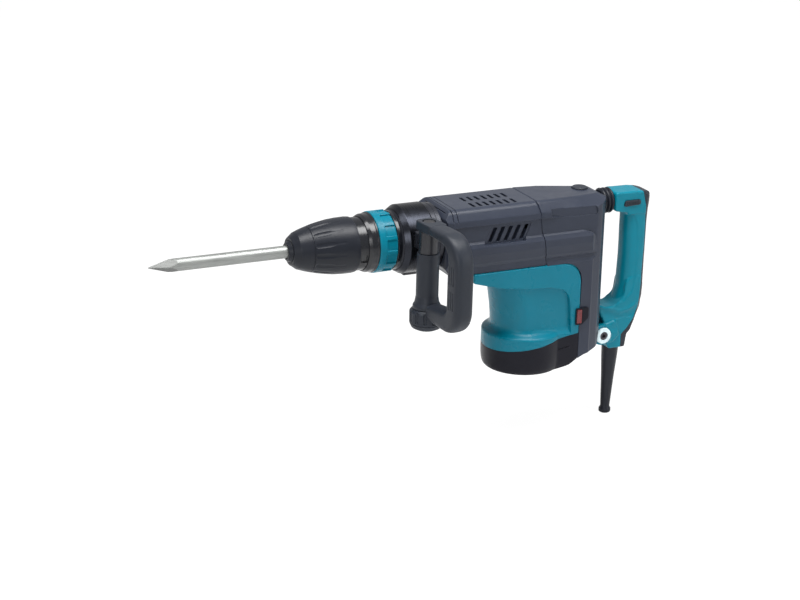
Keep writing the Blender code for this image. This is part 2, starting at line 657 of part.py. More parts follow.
def make_gears():
    line = acos(COUNTER_BACK / COARSE_CENTRES)
    to_motor = -acos((MOTOR_X - COUNTER_X) / FINE_CENTRES)
    disc_top, pin_top = -ROD_THICKNESS / 2 - GAP - 0.0027, ROD_THICKNESS / 2 + 0.0015
    crank_bottom = PLATE_BOTTOM_Z
    crank = turned("crankshaft", [
        (crank_bottom, 0.0), (crank_bottom, CRANK_SHAFT_RADIUS), (disc_top - 0.010, CRANK_SHAFT_RADIUS),
        (disc_top - 0.010, CRANK_DISC_RADIUS), (disc_top, CRANK_DISC_RADIUS), (disc_top, 0.0)],
        axis="Z", at=(CRANK_X, 0, 0), steps=16)
    join(crank, turned("crank_pin", [
        (disc_top - 0.002, 0.0), (disc_top - 0.002, ROD_BIG_RADIUS - 0.0035), (-ROD_THICKNESS / 2 - GAP, ROD_BIG_RADIUS - 0.0035),
        (-ROD_THICKNESS / 2 - GAP, CRANK_PIN_RADIUS), (pin_top, CRANK_PIN_RADIUS), (pin_top, 0.0)],
        axis="Z", at=(ROD_PIN_X, 0, 0), steps=16))
    steel(crank)

    gear_top = CRANK_GEAR_Z + CRANK_GEAR_WIDTH
    steel(prism("crank_gear", gear_outline(CRANK_TEETH, COARSE_MODULE, CRANK_SHAFT_RADIUS + GAP, line),
                "Z", CRANK_GEAR_Z, gear_top, at=(CRANK_X, 0, 0)))

    mesh_turn = line + pi + pi / COUNTER_PINION_TEETH
    pinion = gear_outline(COUNTER_PINION_TEETH, COARSE_MODULE, 0.002, mesh_turn)[:1]
    counter = prism("countershaft", pinion, "Z", CRANK_GEAR_Z - 0.001, gear_top + 0.001,
                    at=(COUNTER_X, COUNTER_Y, 0))
    join(counter, tube("shaft", PLATE_BOTTOM_Z, CRANK_GEAR_Z, COUNTER_SHAFT_RADIUS, axis="Z",
                       at=(COUNTER_X, COUNTER_Y, 0), steps=SMALL_STEPS))
    wheel = gear_outline(COUNTER_TEETH, FINE_MODULE, 0.002, to_motor)[:1]
    join(counter, prism("wheel", wheel, "Z", COUNTER_GEAR_Z, COUNTER_GEAR_Z + COUNTER_GEAR_WIDTH,
                        at=(COUNTER_X, COUNTER_Y, 0)))
    steel(counter)

    pinion_turn = to_motor + pi + pi / PINION_TEETH
    shaft = prism("armature_shaft", gear_outline(PINION_TEETH, FINE_MODULE, 0.001, pinion_turn)[:1], "Z",
                  COUNTER_GEAR_Z - 0.001, COUNTER_GEAR_Z + COUNTER_GEAR_WIDTH + 0.001, at=(MOTOR_X, 0, 0))
    join(shaft, tube("shaft", MOTOR_BEARING_Z, COUNTER_GEAR_Z - 0.0005, MOTOR_SHAFT_RADIUS, axis="Z",
                     at=(MOTOR_X, 0, 0), steps=SMALL_STEPS))
    steel(shaft)


def bearings():
    """Name, axis x, bottom, shaft radius and outer radius of each bearing."""
    seat = PLATE_BOTTOM_Z + 0.0015
    return [("armature_bearing_lower", MOTOR_X, MOTOR_BEARING_Z, MOTOR_SHAFT_RADIUS, MOTOR_BEARING_RADIUS),
            ("armature_bearing_upper", MOTOR_X, seat, MOTOR_SHAFT_RADIUS, PLATE_BEARING_RADIUS),
            ("crank_bearing", CRANK_X, seat, CRANK_SHAFT_RADIUS, PLATE_BEARING_RADIUS)]


def make_plate():
    """Alloy plate that carries the three shafts."""
    inner = HOUSING_HALF_WIDTH - WALL - 2 * GAP
    front, rear = GEAR_BAY_FRONT_X + GAP, GEAR_BAY_REAR_X - GAP
    outline = rounded([(front, -inner, 0.006), (rear, -inner, 0.006), (rear, inner, 0.006),
                       (front, inner, 0.006)])
    plate = prism("gear_plate", [outline], "Z", PLATE_BOTTOM_Z, PLATE_TOP_Z)
    for name, x, bottom, shaft, outer in bearings()[1:]:
        cut(plate, turned("bearing_seat", [
            (PLATE_BOTTOM_Z - 0.01, 0.0), (PLATE_BOTTOM_Z - 0.01, shaft + 0.0015),
            (bottom - GAP, shaft + 0.0015), (bottom - GAP, outer + GAP), (PLATE_TOP_Z + 0.01, outer + GAP),
            (PLATE_TOP_Z + 0.01, 0.0)], axis="Z", at=(x, 0, 0), steps=16))
    cut(plate, tube("countershaft_bush", PLATE_BOTTOM_Z - 0.01, PLATE_TOP_Z + 0.01, COUNTER_SHAFT_RADIUS + GAP,
                    axis="Z", at=(COUNTER_X, COUNTER_Y, 0), steps=SMALL_STEPS))
    alloy(plate)
    for name, x, bottom, shaft, outer in bearings():
        steel(tube(name, bottom, bottom + BEARING_WIDTH, outer, shaft + GAP, axis="Z", at=(x, 0, 0), steps=16))


# ---------------------------------------------------------------- motor
def make_motor():
    armature_bottom = ARMATURE_TOP_Z - ARMATURE_LENGTH
    bore = MOTOR_SHAFT_RADIUS + GAP
    slots = []
    step = 360.0 / ARMATURE_SLOTS
    for i in range(ARMATURE_SLOTS):
        slots += arc((0, 0), ARMATURE_RADIUS, (i - 0.38) * step, (i + 0.38) * step, 2)
        slots += arc((0, 0), ARMATURE_RADIUS - 0.003, (i + 0.42) * step, (i + 0.58) * step, 1)
    hole = arc((0, 0), bore, 0, 360, SMALL_STEPS)[:-1]
    core = prism("armature_core", [slots, hole], "Z", armature_bottom, ARMATURE_TOP_Z, at=(MOTOR_X, 0, 0))
    winding = ARMATURE_RADIUS - 0.006
    for low, high in ((armature_bottom - 0.008, armature_bottom + 0.001), (ARMATURE_TOP_Z - 0.001, FAN_BOTTOM_Z - GAP)):
        join(core, tube("winding", low, high, winding, bore + 0.0002, axis="Z", at=(MOTOR_X, 0, 0), steps=16))
    dark_steel(core)
    copper(tube("commutator", COMMUTATOR_TOP_Z - COMMUTATOR_LENGTH, COMMUTATOR_TOP_Z, COMMUTATOR_RADIUS, bore,
                axis="Z", at=(MOTOR_X, 0, 0), steps=16))

    fan_top = FAN_BOTTOM_Z + FAN_HEIGHT
    fan = turned("cooling_fan", [
        (FAN_BOTTOM_Z, bore), (FAN_BOTTOM_Z, FAN_RADIUS), (FAN_BOTTOM_Z + 0.002, FAN_RADIUS),
        (FAN_BOTTOM_Z + 0.003, 0.012), (fan_top, 0.011), (fan_top, bore)], axis="Z", at=(MOTOR_X, 0, 0))
    blade = [(0.0095, -0.0008), (FAN_RADIUS - 0.001, 0.0042), (FAN_RADIUS - 0.001, 0.0058), (0.0095, 0.0008)]
    for i in range(FAN_BLADES):
        turn = 2 * pi * i / FAN_BLADES
        turned_blade = [(x * cos(turn) - y * sin(turn), x * sin(turn) + y * cos(turn)) for x, y in blade]
        join(fan, prism("blade", [turned_blade], "Z", FAN_BOTTOM_Z + 0.001, fan_top - 0.001, at=(MOTOR_X, 0, 0)))
    black_plastic(fan)

    field_bore = ARMATURE_RADIUS + 0.0008
    field = tube("field_core", armature_bottom, ARMATURE_TOP_Z, FIELD_RADIUS, field_bore, axis="Z", at=(MOTOR_X, 0, 0))
    for low, high in ((armature_bottom - 0.010, armature_bottom + 0.001), (ARMATURE_TOP_Z - 0.001, ARMATURE_TOP_Z + 0.005)):
        join(field, turned("winding", [
            (low, field_bore + 0.002), (low, FIELD_RADIUS - 0.004), (high, FIELD_RADIUS - 0.003),
            (high, field_bore + 0.002)], axis="Z", at=(MOTOR_X, 0, 0), steps=16))
    dark_steel(field)

    brush_z = COMMUTATOR_TOP_Z - COMMUTATOR_LENGTH / 2
    inner_y = COMMUTATOR_RADIUS + GAP
    ring_low = brush_z - 0.010
    plate = tube("brush_plate", ring_low, ring_low + 0.004, FIELD_RADIUS, COMMUTATOR_RADIUS + 0.004, axis="Z",
                 at=(MOTOR_X, 0, 0))
    for side in (-1, 1):
        reach = sorted((side * (inner_y + 0.004), side * (inner_y + 0.027)))
        join(plate, box("holder", (MOTOR_X - 0.008, reach[0], ring_low + 0.001), (MOTOR_X + 0.008, reach[1], brush_z + 0.006)))
    cut(plate, box("channel", (MOTOR_X - 0.005 - GAP, -0.06, brush_z - 0.0035 - GAP),
                   (MOTOR_X + 0.005 + GAP, 0.06, brush_z + 0.0035 + GAP)))
    brass(plate)
    for name, side in (("carbon_brush_near", -1), ("carbon_brush_far", 1)):
        reach = sorted((side * inner_y, side * (inner_y + 0.018)))
        rubber(box(name, (MOTOR_X - 0.005, reach[0], brush_z - 0.0035), (MOTOR_X + 0.005, reach[1], brush_z + 0.0035)))


# ---------------------------------------------------------------- housings
GEAR_BAY_FRONT_X = 0.3035
GEAR_BAY_REAR_X = 0.4110
DRUM_BORE = FIELD_RADIUS + GAP
BODY_INNER = HOUSING_HALF_WIDTH - WALL


def half_section():
    """Right half of the upper body's section (y, z), from the top middle down to the belly."""
    w = HOUSING_HALF_WIDTH
    return [(0.0, TOP_Z), (w - 0.014, TOP_Z - 0.0008), (w - 0.006, TOP_Z - 0.0033), (w - 0.0015, COVER_EDGE_Z + 0.003),
            (w, COVER_EDGE_Z), (w + 0.0006, 0.022), (w - 0.0002, 0.0195), (w - 0.0022, 0.0185), (w - 0.0022, -0.0035),
            (w - 0.0002, -0.0050), (w + 0.0028, -0.0090), (w + 0.0042, -0.0165), (w + 0.0042, -0.0205),
            (w + 0.0034, -0.0300), (w + 0.0010, -0.0375), (w - 0.0008, -0.0400), (w - 0.0008, BELLY_Z)]


def full_section(half):
    return half + [(-y, z) for y, z in reversed(half) if y > 0.0]


def body_section(name):
    half = half_section() + [(LOWER_HALF_WIDTH, BELLY_Z - 0.0002), (LOWER_HALF_WIDTH, -AXIS_HEIGHT - 0.01)]
    return prism(name, [full_section(half)], "X", 0.18, 0.52)


def seam_x(z):
    """The slanted seam between the front and rear housings."""
    share = (TOP_Z - z) / (TOP_Z - BELLY_Z)
    return SEAM_TOP_X + (SEAM_BOTTOM_X - SEAM_TOP_X) * share


def make_front_housing():
    front, z_low, z_high = HOUSING_FRONT_X, BELLY_Z + GAP, COVER_EDGE_Z - GAP
    outline = [(front, z_high), (front, z_low + 0.010), (front + 0.008, z_low),
               (seam_x(z_low) - GAP, z_low), (seam_x(z_high) - GAP, z_high)]
    shell = prism("front_housing", [outline], "Y", -0.07, 0.07)
    keep_common(shell, body_section("section"))
    inner = BODY_INNER
    cut(shell, box("bay", (FRONT_WALL_X, -inner, BELLY_Z + WALL), (0.45, inner, 0.08)))
    cut(shell, box("gear_way", (0.268, -inner, -0.09), (0.45, inner, 0.0)))
    cut(shell, tube("cylinder_hole", 0.19, 0.25, CYLINDER_RADIUS + GAP))
    lean = tan(radians(20.0))
    for side in (-1, 1):
        for i in range(LOUVRE_COUNT):
            x, low, high = LOUVRE_FIRST_X + LOUVRE_PITCH * i, -0.0015, 0.0165
            slot = [(x, low), (x + 0.0045, low), (x + 0.0045 + lean * (high - low), high), (x + lean * (high - low), high)]
            reach = sorted((side * (inner - 0.002), side * 0.06))
            cut(shell, prism("louvre", [slot], "Y", reach[0], reach[1]))
    black_plastic(shell)

    lid_outline = [(front + 0.0005, COVER_EDGE_Z), (seam_x(COVER_EDGE_Z) - GAP, COVER_EDGE_Z),
                   (seam_x(TOP_Z) - GAP, TOP_Z + 0.002), (front + 0.008, TOP_Z + 0.002), (front + 0.0005, TOP_Z - 0.004)]
    lid = prism("top_cover", [lid_outline], "Y", -0.07, 0.07)
    keep_common(lid, body_section("section"))
    roof = TOP_Z - WALL
    cut(lid, prism("hollow", [full_section([(0.0, roof), (inner - 0.008, roof - 0.001), (inner, COVER_EDGE_Z - 0.001),
                                             (inner, COVER_EDGE_Z - 0.01)])], "X", FRONT_WALL_X, 0.45))
    for y_mid in (0.0175, -0.0125):
        for i in range(VENT_COUNT):
            x = VENT_FIRST_X + VENT_PITCH * i
            cut(lid, box("vent", (x - VENT_WIDTH / 2, y_mid - VENT_LENGTH / 2, roof - 0.01),
                         (x + VENT_WIDTH / 2, y_mid + VENT_LENGTH / 2, TOP_Z + 0.01)))
    black_plastic(lid)


def rear_side_outline(inset):
    """Side outline (x, z) of the rear housing, drawn in by a wall where asked."""
    top = TOP_Z + 0.002 - (inset + 0.002 if inset else 0.0)
    rear, column = REAR_X - inset, COLUMN_X + GAP + inset
    belly = BELLY_Z - GAP + inset
    lift = inset * 0.8
    points = [(seam_x(TOP_Z), top), (0.476 - inset, top), (rear, 0.042 - inset), (rear, -0.118), (0.497 - inset, -0.138, 0.004),
              (0.4965 - inset, -0.1595, 0.004), (0.4795 - inset, -0.1735 + lift, 0.003), (0.4775 - inset, -0.1875 + lift),
              (0.448, -0.196 + lift), (column, -0.2005 + lift), (column, -0.085, 0.030), (0.4080, belly, 0.024)]
    if inset:
        return rounded(points[:-2] + [(column, belly), (0.36, belly)])
    return rounded(points + [(seam_x(BELLY_Z), belly)])


def rear_plan_outline(inset):
    """Plan outline (x, y): the rear corners are drawn in towards the handle's neck."""
    w, rear = 0.06 - inset, REAR_X + 0.012 - inset
    half = [(0.34, w), (0.442, w), (0.452, HOUSING_HALF_WIDTH + 0.004 - inset), (0.472 - inset, 0.0455 - inset, 0.008),
            (rear - 0.008, 0.026 - inset), (rear, 0.012)]
    return rounded(half + [(p[0], -p[1]) + tuple(p[2:]) for p in reversed(half)])


def make_rear_housing():
    shell = prism("rear_housing", [rear_side_outline(0.0)], "Y", -0.07, 0.07)
    keep_common(shell, body_section("section"))
    keep_common(shell, prism("plan", [rear_plan_outline(0.0)], "Z", -0.25, 0.10))
    hollow = prism("hollow", [rear_side_outline(WALL)], "Y", -BODY_INNER, BODY_INNER)
    keep_common(hollow, prism("plan", [rear_plan_outline(WALL)], "Z", -0.25, 0.10))
    cut(shell, hollow)
    lug = [(PIVOT_X + (PIVOT_RADIUS - 0.004) * cos(radians(t)), PIVOT_Z + (PIVOT_RADIUS - 0.004) * sin(radians(t)))
           for t in range(-70, 81, 15)]
    lug = [(0.476, -0.1900)] + lug + [(PIVOT_X - 0.004, -0.156), (0.476, -0.160)]
    join(shell, prism("lug", [lug], "Y", -LUG_HALF_WIDTH, LUG_HALF_WIDTH))
    cut(shell, tube("pivot_hole", -0.05, 0.05, 0.006 + GAP, axis="Y", at=(PIVOT_X, 0, PIVOT_Z), steps=SMALL_STEPS))
    join(shell, turned("dial_hump", [(TOP_Z - 0.003, 0.0), (TOP_Z - 0.003, DIAL_RADIUS + 0.006),
                                     (TOP_Z + 0.0005, DIAL_RADIUS + 0.004), (TOP_Z + 0.0015, DIAL_RADIUS + 0.002),
                                     (TOP_Z + 0.0015, 0.0)], axis="Z", at=(DIAL_X, DIAL_Y, 0), steps=16))
    cut(shell, tube("dial_well", TOP_Z - 0.003, TOP_Z + 0.02, DIAL_RADIUS + GAP, axis="Z", at=(DIAL_X, DIAL_Y, 0), steps=16))
    black_plastic(shell)

    dial = turned("speed_dial", [
        (TOP_Z - 0.003 + GAP, 0.0), (TOP_Z - 0.003 + GAP, DIAL_RADIUS), (TOP_Z + 0.0025, DIAL_RADIUS),
        (TOP_Z + 0.0035, DIAL_RADIUS - 0.001), (TOP_Z + 0.0035, 0.0)], axis="Z", at=(DIAL_X, DIAL_Y, 0), steps=16)
    black_plastic(dial)


def base_outline(inset):
    """Plan of the motor's base: round in front, straight sides to the rear column."""
    r, w = BASE_RADIUS - inset, LOWER_HALF_WIDTH - inset
    meet = 90.0 - (90.0 - 57.0)
    front = [(MOTOR_X + x, y) for x, y in arc((0.0, 0.0), r, meet, 360.0 - meet, 18)]
    return front + [(COLUMN_X - GAP - inset, -w), (COLUMN_X - GAP - inset, w)]


def cap_line(x):
    """Height of the slanted joint between the motor housing and its cap."""
    share = (x - (MOTOR_X - BASE_RADIUS)) / (COLUMN_X - (MOTOR_X - BASE_RADIUS))
    return CAP_FRONT_Z + (CAP_REAR_Z - CAP_FRONT_Z) * share


def make_motor_housing():
    rear = COLUMN_X - GAP
    wing = rounded([
        (0.262, BELLY_Z - GAP), (0.4080, BELLY_Z - GAP, 0.024), (rear, -0.085, 0.030), (rear, -0.166),
        (0.423, -0.166), (0.423, -0.112, 0.012), (0.412, -0.091, 0.006), (0.390, -0.0855), (0.340, -0.0830),
        (0.300, -0.0755), (0.262, -0.0640)])
    shell = prism("motor_housing", [wing], "Y", -LOWER_HALF_WIDTH - 0.0008, LOWER_HALF_WIDTH + 0.0008)
    flare_z = -0.146
    drum = turned("drum", [
        (-0.070, 0.0), (-0.070, DRUM_RADIUS), (-0.090, DRUM_RADIUS), (-0.110, DRUM_RADIUS - 0.0012),
        (-0.126, DRUM_RADIUS - 0.0020), (-0.134, DRUM_RADIUS + 0.001), (-0.140, DRUM_RADIUS + 0.006),
        (flare_z + 0.002, BASE_RADIUS - 0.002), (flare_z, BASE_RADIUS - 0.0007), (flare_z - 0.005, BASE_RADIUS - 0.0007),
        (flare_z - 0.005, 0.0)], axis="Z", at=(MOTOR_X, 0, 0), steps=28)
    join(shell, drum)
    base = prism("base", [base_outline(0.0)], "Z", -0.20, flare_z - 0.001)
    join(shell, base)
    far = 0.6
    below = [(MOTOR_X - BASE_RADIUS - 0.03, cap_line(MOTOR_X - BASE_RADIUS - 0.03)), (far, cap_line(far)), (far, -0.4),
             (MOTOR_X - BASE_RADIUS - 0.03, -0.4)]
    cut(shell, prism("below", [below], "Y", -0.1, 0.1))
    ledge = PLATE_BOTTOM_Z - GAP
    cut(shell, turned("bore", [
        (-0.25, 0.0), (-0.25, BASE_RADIUS - WALL), (flare_z - 0.006, BASE_RADIUS - WALL),
        (flare_z - 0.006, DRUM_BORE), (ledge - 0.004, DRUM_BORE), (ledge - 0.004, 0.0)], axis="Z", at=(MOTOR_X, 0, 0)))
    keep = HOUSING_HALF_WIDTH - WALL
    cut(shell, box("gear_bay", (GEAR_BAY_FRONT_X, -keep, ledge), (GEAR_BAY_REAR_X, keep, 0.0)))
    cut(shell, tube("shaft_way", ledge - 0.01, ledge + 0.01, DRUM_BORE - 0.004, axis="Z", at=(MOTOR_X, 0, 0)))
    cut(shell, box("front_bay", (0.268, -keep, -0.0600), (GEAR_BAY_FRONT_X + 0.002, keep, 0.0)))
    teal_plastic(shell)


def make_motor_cap():
    low = -AXIS_HEIGHT
    shell = prism("motor_cap", [base_outline(0.0)], "Z", low, -0.150)
    x0 = MOTOR_X - BASE_RADIUS - 0.03
    far = 0.6
    side = [(x0, cap_line(x0) - GAP), (x0, low), (0.400, low), (0.424, low + 0.006), (0.438, low + 0.0155), (far, low + 0.05),
            (far, cap_line(far) - GAP)]
    keep_common(shell, prism("side", [side], "Y", -0.1, 0.1))
    rim = turned("rim", [
        (low, 0.0), (low, BASE_RADIUS - 0.006), (low + 0.004, BASE_RADIUS - 0.0018), (low + 0.012, BASE_RADIUS),
        (-0.14, BASE_RADIUS + 0.0005), (-0.14, 0.0)], axis="Z", at=(MOTOR_X, 0, 0), steps=32)
    tail = box("tail", (MOTOR_X + 0.02, -0.08, low - 0.01), (0.46, 0.08, -0.13))
    keep_common(shell, join(rim, tail))
    cut(shell, turned("bowl", [
        (low + WALL, 0.0), (low + WALL, BASE_RADIUS - WALL - 0.006), (low + WALL + 0.010, BASE_RADIUS - WALL - 0.001),
        (-0.13, BASE_RADIUS - WALL - 0.001), (-0.13, 0.0)], axis="Z", at=(MOTOR_X, 0, 0)))
    join(shell, tube("bearing_boss", low + WALL - 0.001, MOTOR_BEARING_Z + BEARING_WIDTH, MOTOR_BEARING_RADIUS + 0.004,
                     axis="Z", at=(MOTOR_X, 0, 0), steps=16))
    cut(shell, tube("bearing_seat", MOTOR_BEARING_Z - GAP, 0.0, MOTOR_BEARING_RADIUS + GAP, axis="Z", at=(MOTOR_X, 0, 0), steps=16))
    black_plastic(shell)


def make_lamp():
    x0, x1, z0, z1 = 0.4335, 0.4515, -0.1455, -0.1215
    skin = LOWER_HALF_WIDTH + 0.0008
    frame = rounded([(x0, z0, 0.002), (x1, z0, 0.002), (x1, z1, 0.002), (x0, z1, 0.002)], 2)
    window = [(x0 + 0.0012, z0 + 0.0015), (x0 + 0.0080, z0 + 0.0015), (x0 + 0.0080, z1 - 0.0015), (x0 + 0.0012, z1 - 0.0015)]
    black_plastic(prism("lamp_bezel", [frame, window], "Y", -skin - 0.0022, -skin - GAP))
    lens = [(x0 + 0.0012 + GAP, z0 + 0.0015 + GAP), (x0 + 0.0080 - GAP, z0 + 0.0015 + GAP),
            (x0 + 0.0080 - GAP, z1 - 0.0015 - GAP), (x0 + 0.0012 + GAP, z1 - 0.0015 - GAP)]
    paint(prism("lamp_lens", [lens], "Y", -skin - 0.0026, -skin - GAP), "red lens", (0.55, 0.03, 0.03), 0.2)


# ---------------------------------------------------------------- rear handle
SWITCH_LOW_Z = 0.0150
SWITCH_HIGH_Z = 0.0270


def handle_outline(rear):
    """Side outline (x, z) of the handle's teal part, up to the pad."""
    x, z = PIVOT_X, PIVOT_Z
    r = PIVOT_RADIUS
    boss = [(x + r * cos(radians(t)), z + r * sin(radians(t))) for t in range(60, 271, 15)]
    return rounded([
        (HANDLE_FRONT_X, HANDLE_TOP_Z - 0.002, 0.003), (0.546, HANDLE_TOP_Z, 0.004), (rear, HANDLE_TOP_Z - 0.003),
        (rear, -0.163), (0.541, -0.181, 0.006), (0.538, HANDLE_BOTTOM_Z, 0.003)] + boss[::-1] + [
        (0.4990, -0.1560, 0.004), (0.4992, -0.1390), (0.4960, HAND_BOTTOM_Z - 0.002), (0.500, HAND_BOTTOM_Z, 0.002),
        (GRIP_FRONT_X - 0.001, HAND_BOTTOM_Z + 0.006, 0.022), (GRIP_FRONT_X + 0.003, -0.075, 0.03), (GRIP_FRONT_X, -0.030, 0.03),
        (GRIP_FRONT_X, HAND_TOP_Z - 0.002, 0.008), (HANDLE_FRONT_X, HAND_TOP_Z - 0.004, 0.003)])


def make_rear_handle():
    for name, side in (("handle_shell_near", -1), ("handle_shell_far", 1)):
        shell = prism(name, [handle_outline(HANDLE_SPLIT_X)], "Y", -HANDLE_HALF_WIDTH, HANDLE_HALF_WIDTH)
        bevel(shell, 0.0075, 2, 50.0)
        join(shell, tube("boss", -PIVOT_HALF_WIDTH, PIVOT_HALF_WIDTH, PIVOT_RADIUS, axis="Y",
                         at=(PIVOT_X, 0, PIVOT_Z), steps=16))
        other = sorted((-side * 0.1, side * GAP / 2))
        cut(shell, box("half", (0.4, other[0], -0.3), (0.7, other[1], 0.2)))
        swing = PIVOT_RADIUS + 0.0015
        slot = [(PIVOT_X + swing * cos(radians(t)), PIVOT_Z + swing * sin(radians(t))) for t in range(-90, 91, 15)]
        slot = [(0.470, PIVOT_Z - swing)] + slot + [(PIVOT_X, -0.146), (0.470, -0.146)]
        cut(shell, prism("lug_slot", [slot], "Y", -LUG_HALF_WIDTH - GAP, LUG_HALF_WIDTH + GAP))
        cut(shell, tube("pivot_hole", -0.05, 0.05, 0.006 + GAP, axis="Y", at=(PIVOT_X, 0, PIVOT_Z), steps=SMALL_STEPS))
        cut(shell, prism("switch_slot", [switch_outline(GAP)], "Y", -0.05, 0.05))
        cut(shell, box("grip_channel", (GRIP_FRONT_X + 0.007, -0.013, -0.1550), (HANDLE_SPLIT_X - 0.003, 0.013, 0.0110)))
        cut(shell, tube("guard_seat", GUARD_TOP_Z - 0.01, GUARD_TOP_Z + 0.0083, 0.0095 + GAP, axis="Z",
                        at=(GUARD_X, 0, 0), steps=16))
        cut(shell, tube("cord_way", GUARD_TOP_Z + 0.004, -0.1500, 0.0045, axis="Z", at=(GUARD_X, 0, 0), steps=SMALL_STEPS))
        cut(shell, box("cord_bend", (GUARD_X - 0.0045, -0.0045, -0.1545), (HANDLE_SPLIT_X - 0.006, 0.0045, -0.1450)))
        for _, x, z in handle_screws():
            cut(shell, turned("screw_hole", screw_profile(GAP), axis="Y", at=(x, 0, z), steps=12))
        teal_plastic(shell)

    pad_x = HANDLE_SPLIT_X + GAP
    pad = prism("handle_grip_pad", [rounded([
        (pad_x, HANDLE_TOP_Z - 0.003), (0.566, HANDLE_TOP_Z - 0.004, 0.005), (0.5755, 0.029, 0.008), (0.5725, 0.014, 0.010),
        (HANDLE_REAR_X, -0.005, 0.02), (HANDLE_REAR_X, -0.130, 0.02), (0.5705, -0.152, 0.010), (0.563, -0.166, 0.008),
        (pad_x, -0.1715)])], "Y", -HANDLE_HALF_WIDTH + 0.0005, HANDLE_HALF_WIDTH - 0.0005)
    rubber(bevel(pad, 0.0085, 2, 50.0))

    bar = prism("switch_bar", [switch_outline(0.0)], "Y", -HANDLE_HALF_WIDTH - 0.0025, HANDLE_HALF_WIDTH - 0.0005)
    rubber(bevel(bar, 0.0012, 1, 60.0))
    black_plastic(bevel(box("switch_body", (GRIP_FRONT_X + 0.007 + GAP, -0.0127, -0.046), (HANDLE_SPLIT_X - 0.003 - GAP, 0.0127, 0.0105)), 0.001, 1))

    ring_profile = [(0.0, 0.0065), (0.0, 0.0125), (0.0020, 0.0122), (0.0032, 0.0105), (0.0032, 0.0065)]
    for name, side in (("pivot_ring_near", -1), ("pivot_ring_far", 1)):
        profile = [(side * (PIVOT_HALF_WIDTH + GAP + along), radius) for along, radius in ring_profile]
        ring = turned(name, profile, axis="Y", at=(PIVOT_X, 0, PIVOT_Z), steps=16)
        paint(ring, "white plastic", (0.85, 0.87, 0.88), 0.4)
    end = PIVOT_HALF_WIDTH + 0.0025
    bolt = tube("pivot_bolt", -end, end, 0.006, axis="Y", at=(PIVOT_X, 0, PIVOT_Z), steps=SMALL_STEPS)
    for side in (-1, 1):
        reach = sorted((side * (end - 0.004), side * (end + 0.01)))
        cut(bolt, prism("socket", [arc((PIVOT_X, PIVOT_Z), 0.0032, 0, 360, 6)[:-1]], "Y", reach[0], reach[1]))
    dark_steel(bolt)

    for name, x, z in handle_screws():
        dark_steel(turned(name, screw_profile(0.0), axis="Y", at=(x, 0, z), steps=12))


def switch_outline(clear):
    lean = 0.004
    low, high = SWITCH_LOW_Z - clear, SWITCH_HIGH_Z + clear
    return rounded([(0.517 - clear, low, 0.003), (0.544 + clear, low, 0.003), (0.544 + clear + lean, high, 0.003),
                    (0.517 - clear + lean, high, 0.003)], 2)


def handle_screws():
    """Name and place (x, z) of the screws that hold the handle's halves together."""
    return [("handle_screw_upper", 0.5125, 0.0235), ("handle_screw_lower", 0.5400, -0.1640)]


def screw_profile(clear):
    """A pan head screw driven from the far side through both shells."""
    head_y, tip_y = HANDLE_HALF_WIDTH - 0.0040, -HANDLE_HALF_WIDTH + 0.0080
    outer = 0.03 if clear else head_y + 0.0022
    return [(tip_y - clear, 0.0), (tip_y - clear, 0.0018 + clear), (head_y - clear, 0.0018 + clear),
            (head_y - clear, 0.0034 + clear), (outer, 0.0034 + clear), (outer, 0.0)]


def make_bellows():
    start, end = REAR_X + GAP, HANDLE_FRONT_X - GAP
    pitch = (end - start - 0.002) / BELLOWS_RIBS
    valley, bore = BELLOWS_RADIUS - 0.0035, BELLOWS_RADIUS - 0.0055
    profile = [(start, bore), (start, valley)]
    for i in range(BELLOWS_RIBS):
        x = start + 0.001 + pitch * i
        profile += [(x + 0.3 * pitch, BELLOWS_RADIUS), (x + 0.6 * pitch, BELLOWS_RADIUS), (x + 0.9 * pitch, valley)]
    profile[-1] = (end, valley)
    profile += [(end, bore)]
    rubber(turned("bellows", profile, at=(0, 0, BELLOWS_Z), steps=16))
    steel(coil("handle_spring", start, end, bore - 0.0030, 0.0012, 5, at=(0, 0, BELLOWS_Z)))


def make_cord_guard():
    top, low = GUARD_TOP_Z, GUARD_TOP_Z - GUARD_LENGTH
    guard = turned("cord_guard", [
        (top + 0.0080, 0.0045), (top + 0.0080, 0.0095), (top - GAP, 0.0095), (top - GAP, 0.0140), (top - 0.012, 0.0132),
        (top - 0.050, 0.0100), (top - 0.095, 0.0078), (low + 0.009, 0.0070), (low + 0.008, 0.0090), (low + 0.002, 0.0095),
        (low, 0.0080), (low, 0.0045)], axis="Z", at=(GUARD_X, 0, 0), steps=16)
    rubber(guard)
    clip = [(0.5390, -0.1955), (0.5440, -0.1830), (0.5500, -0.1768), (0.5460, -0.1990), (0.5390, -0.2080)]
    black_plastic(prism("cord_clip", [clip], "Y", -0.008, 0.008))


# ---------------------------------------------------------------- side handle
SIDE_SPLIT_Z = BOSS_BOTTOM_Z - GAP


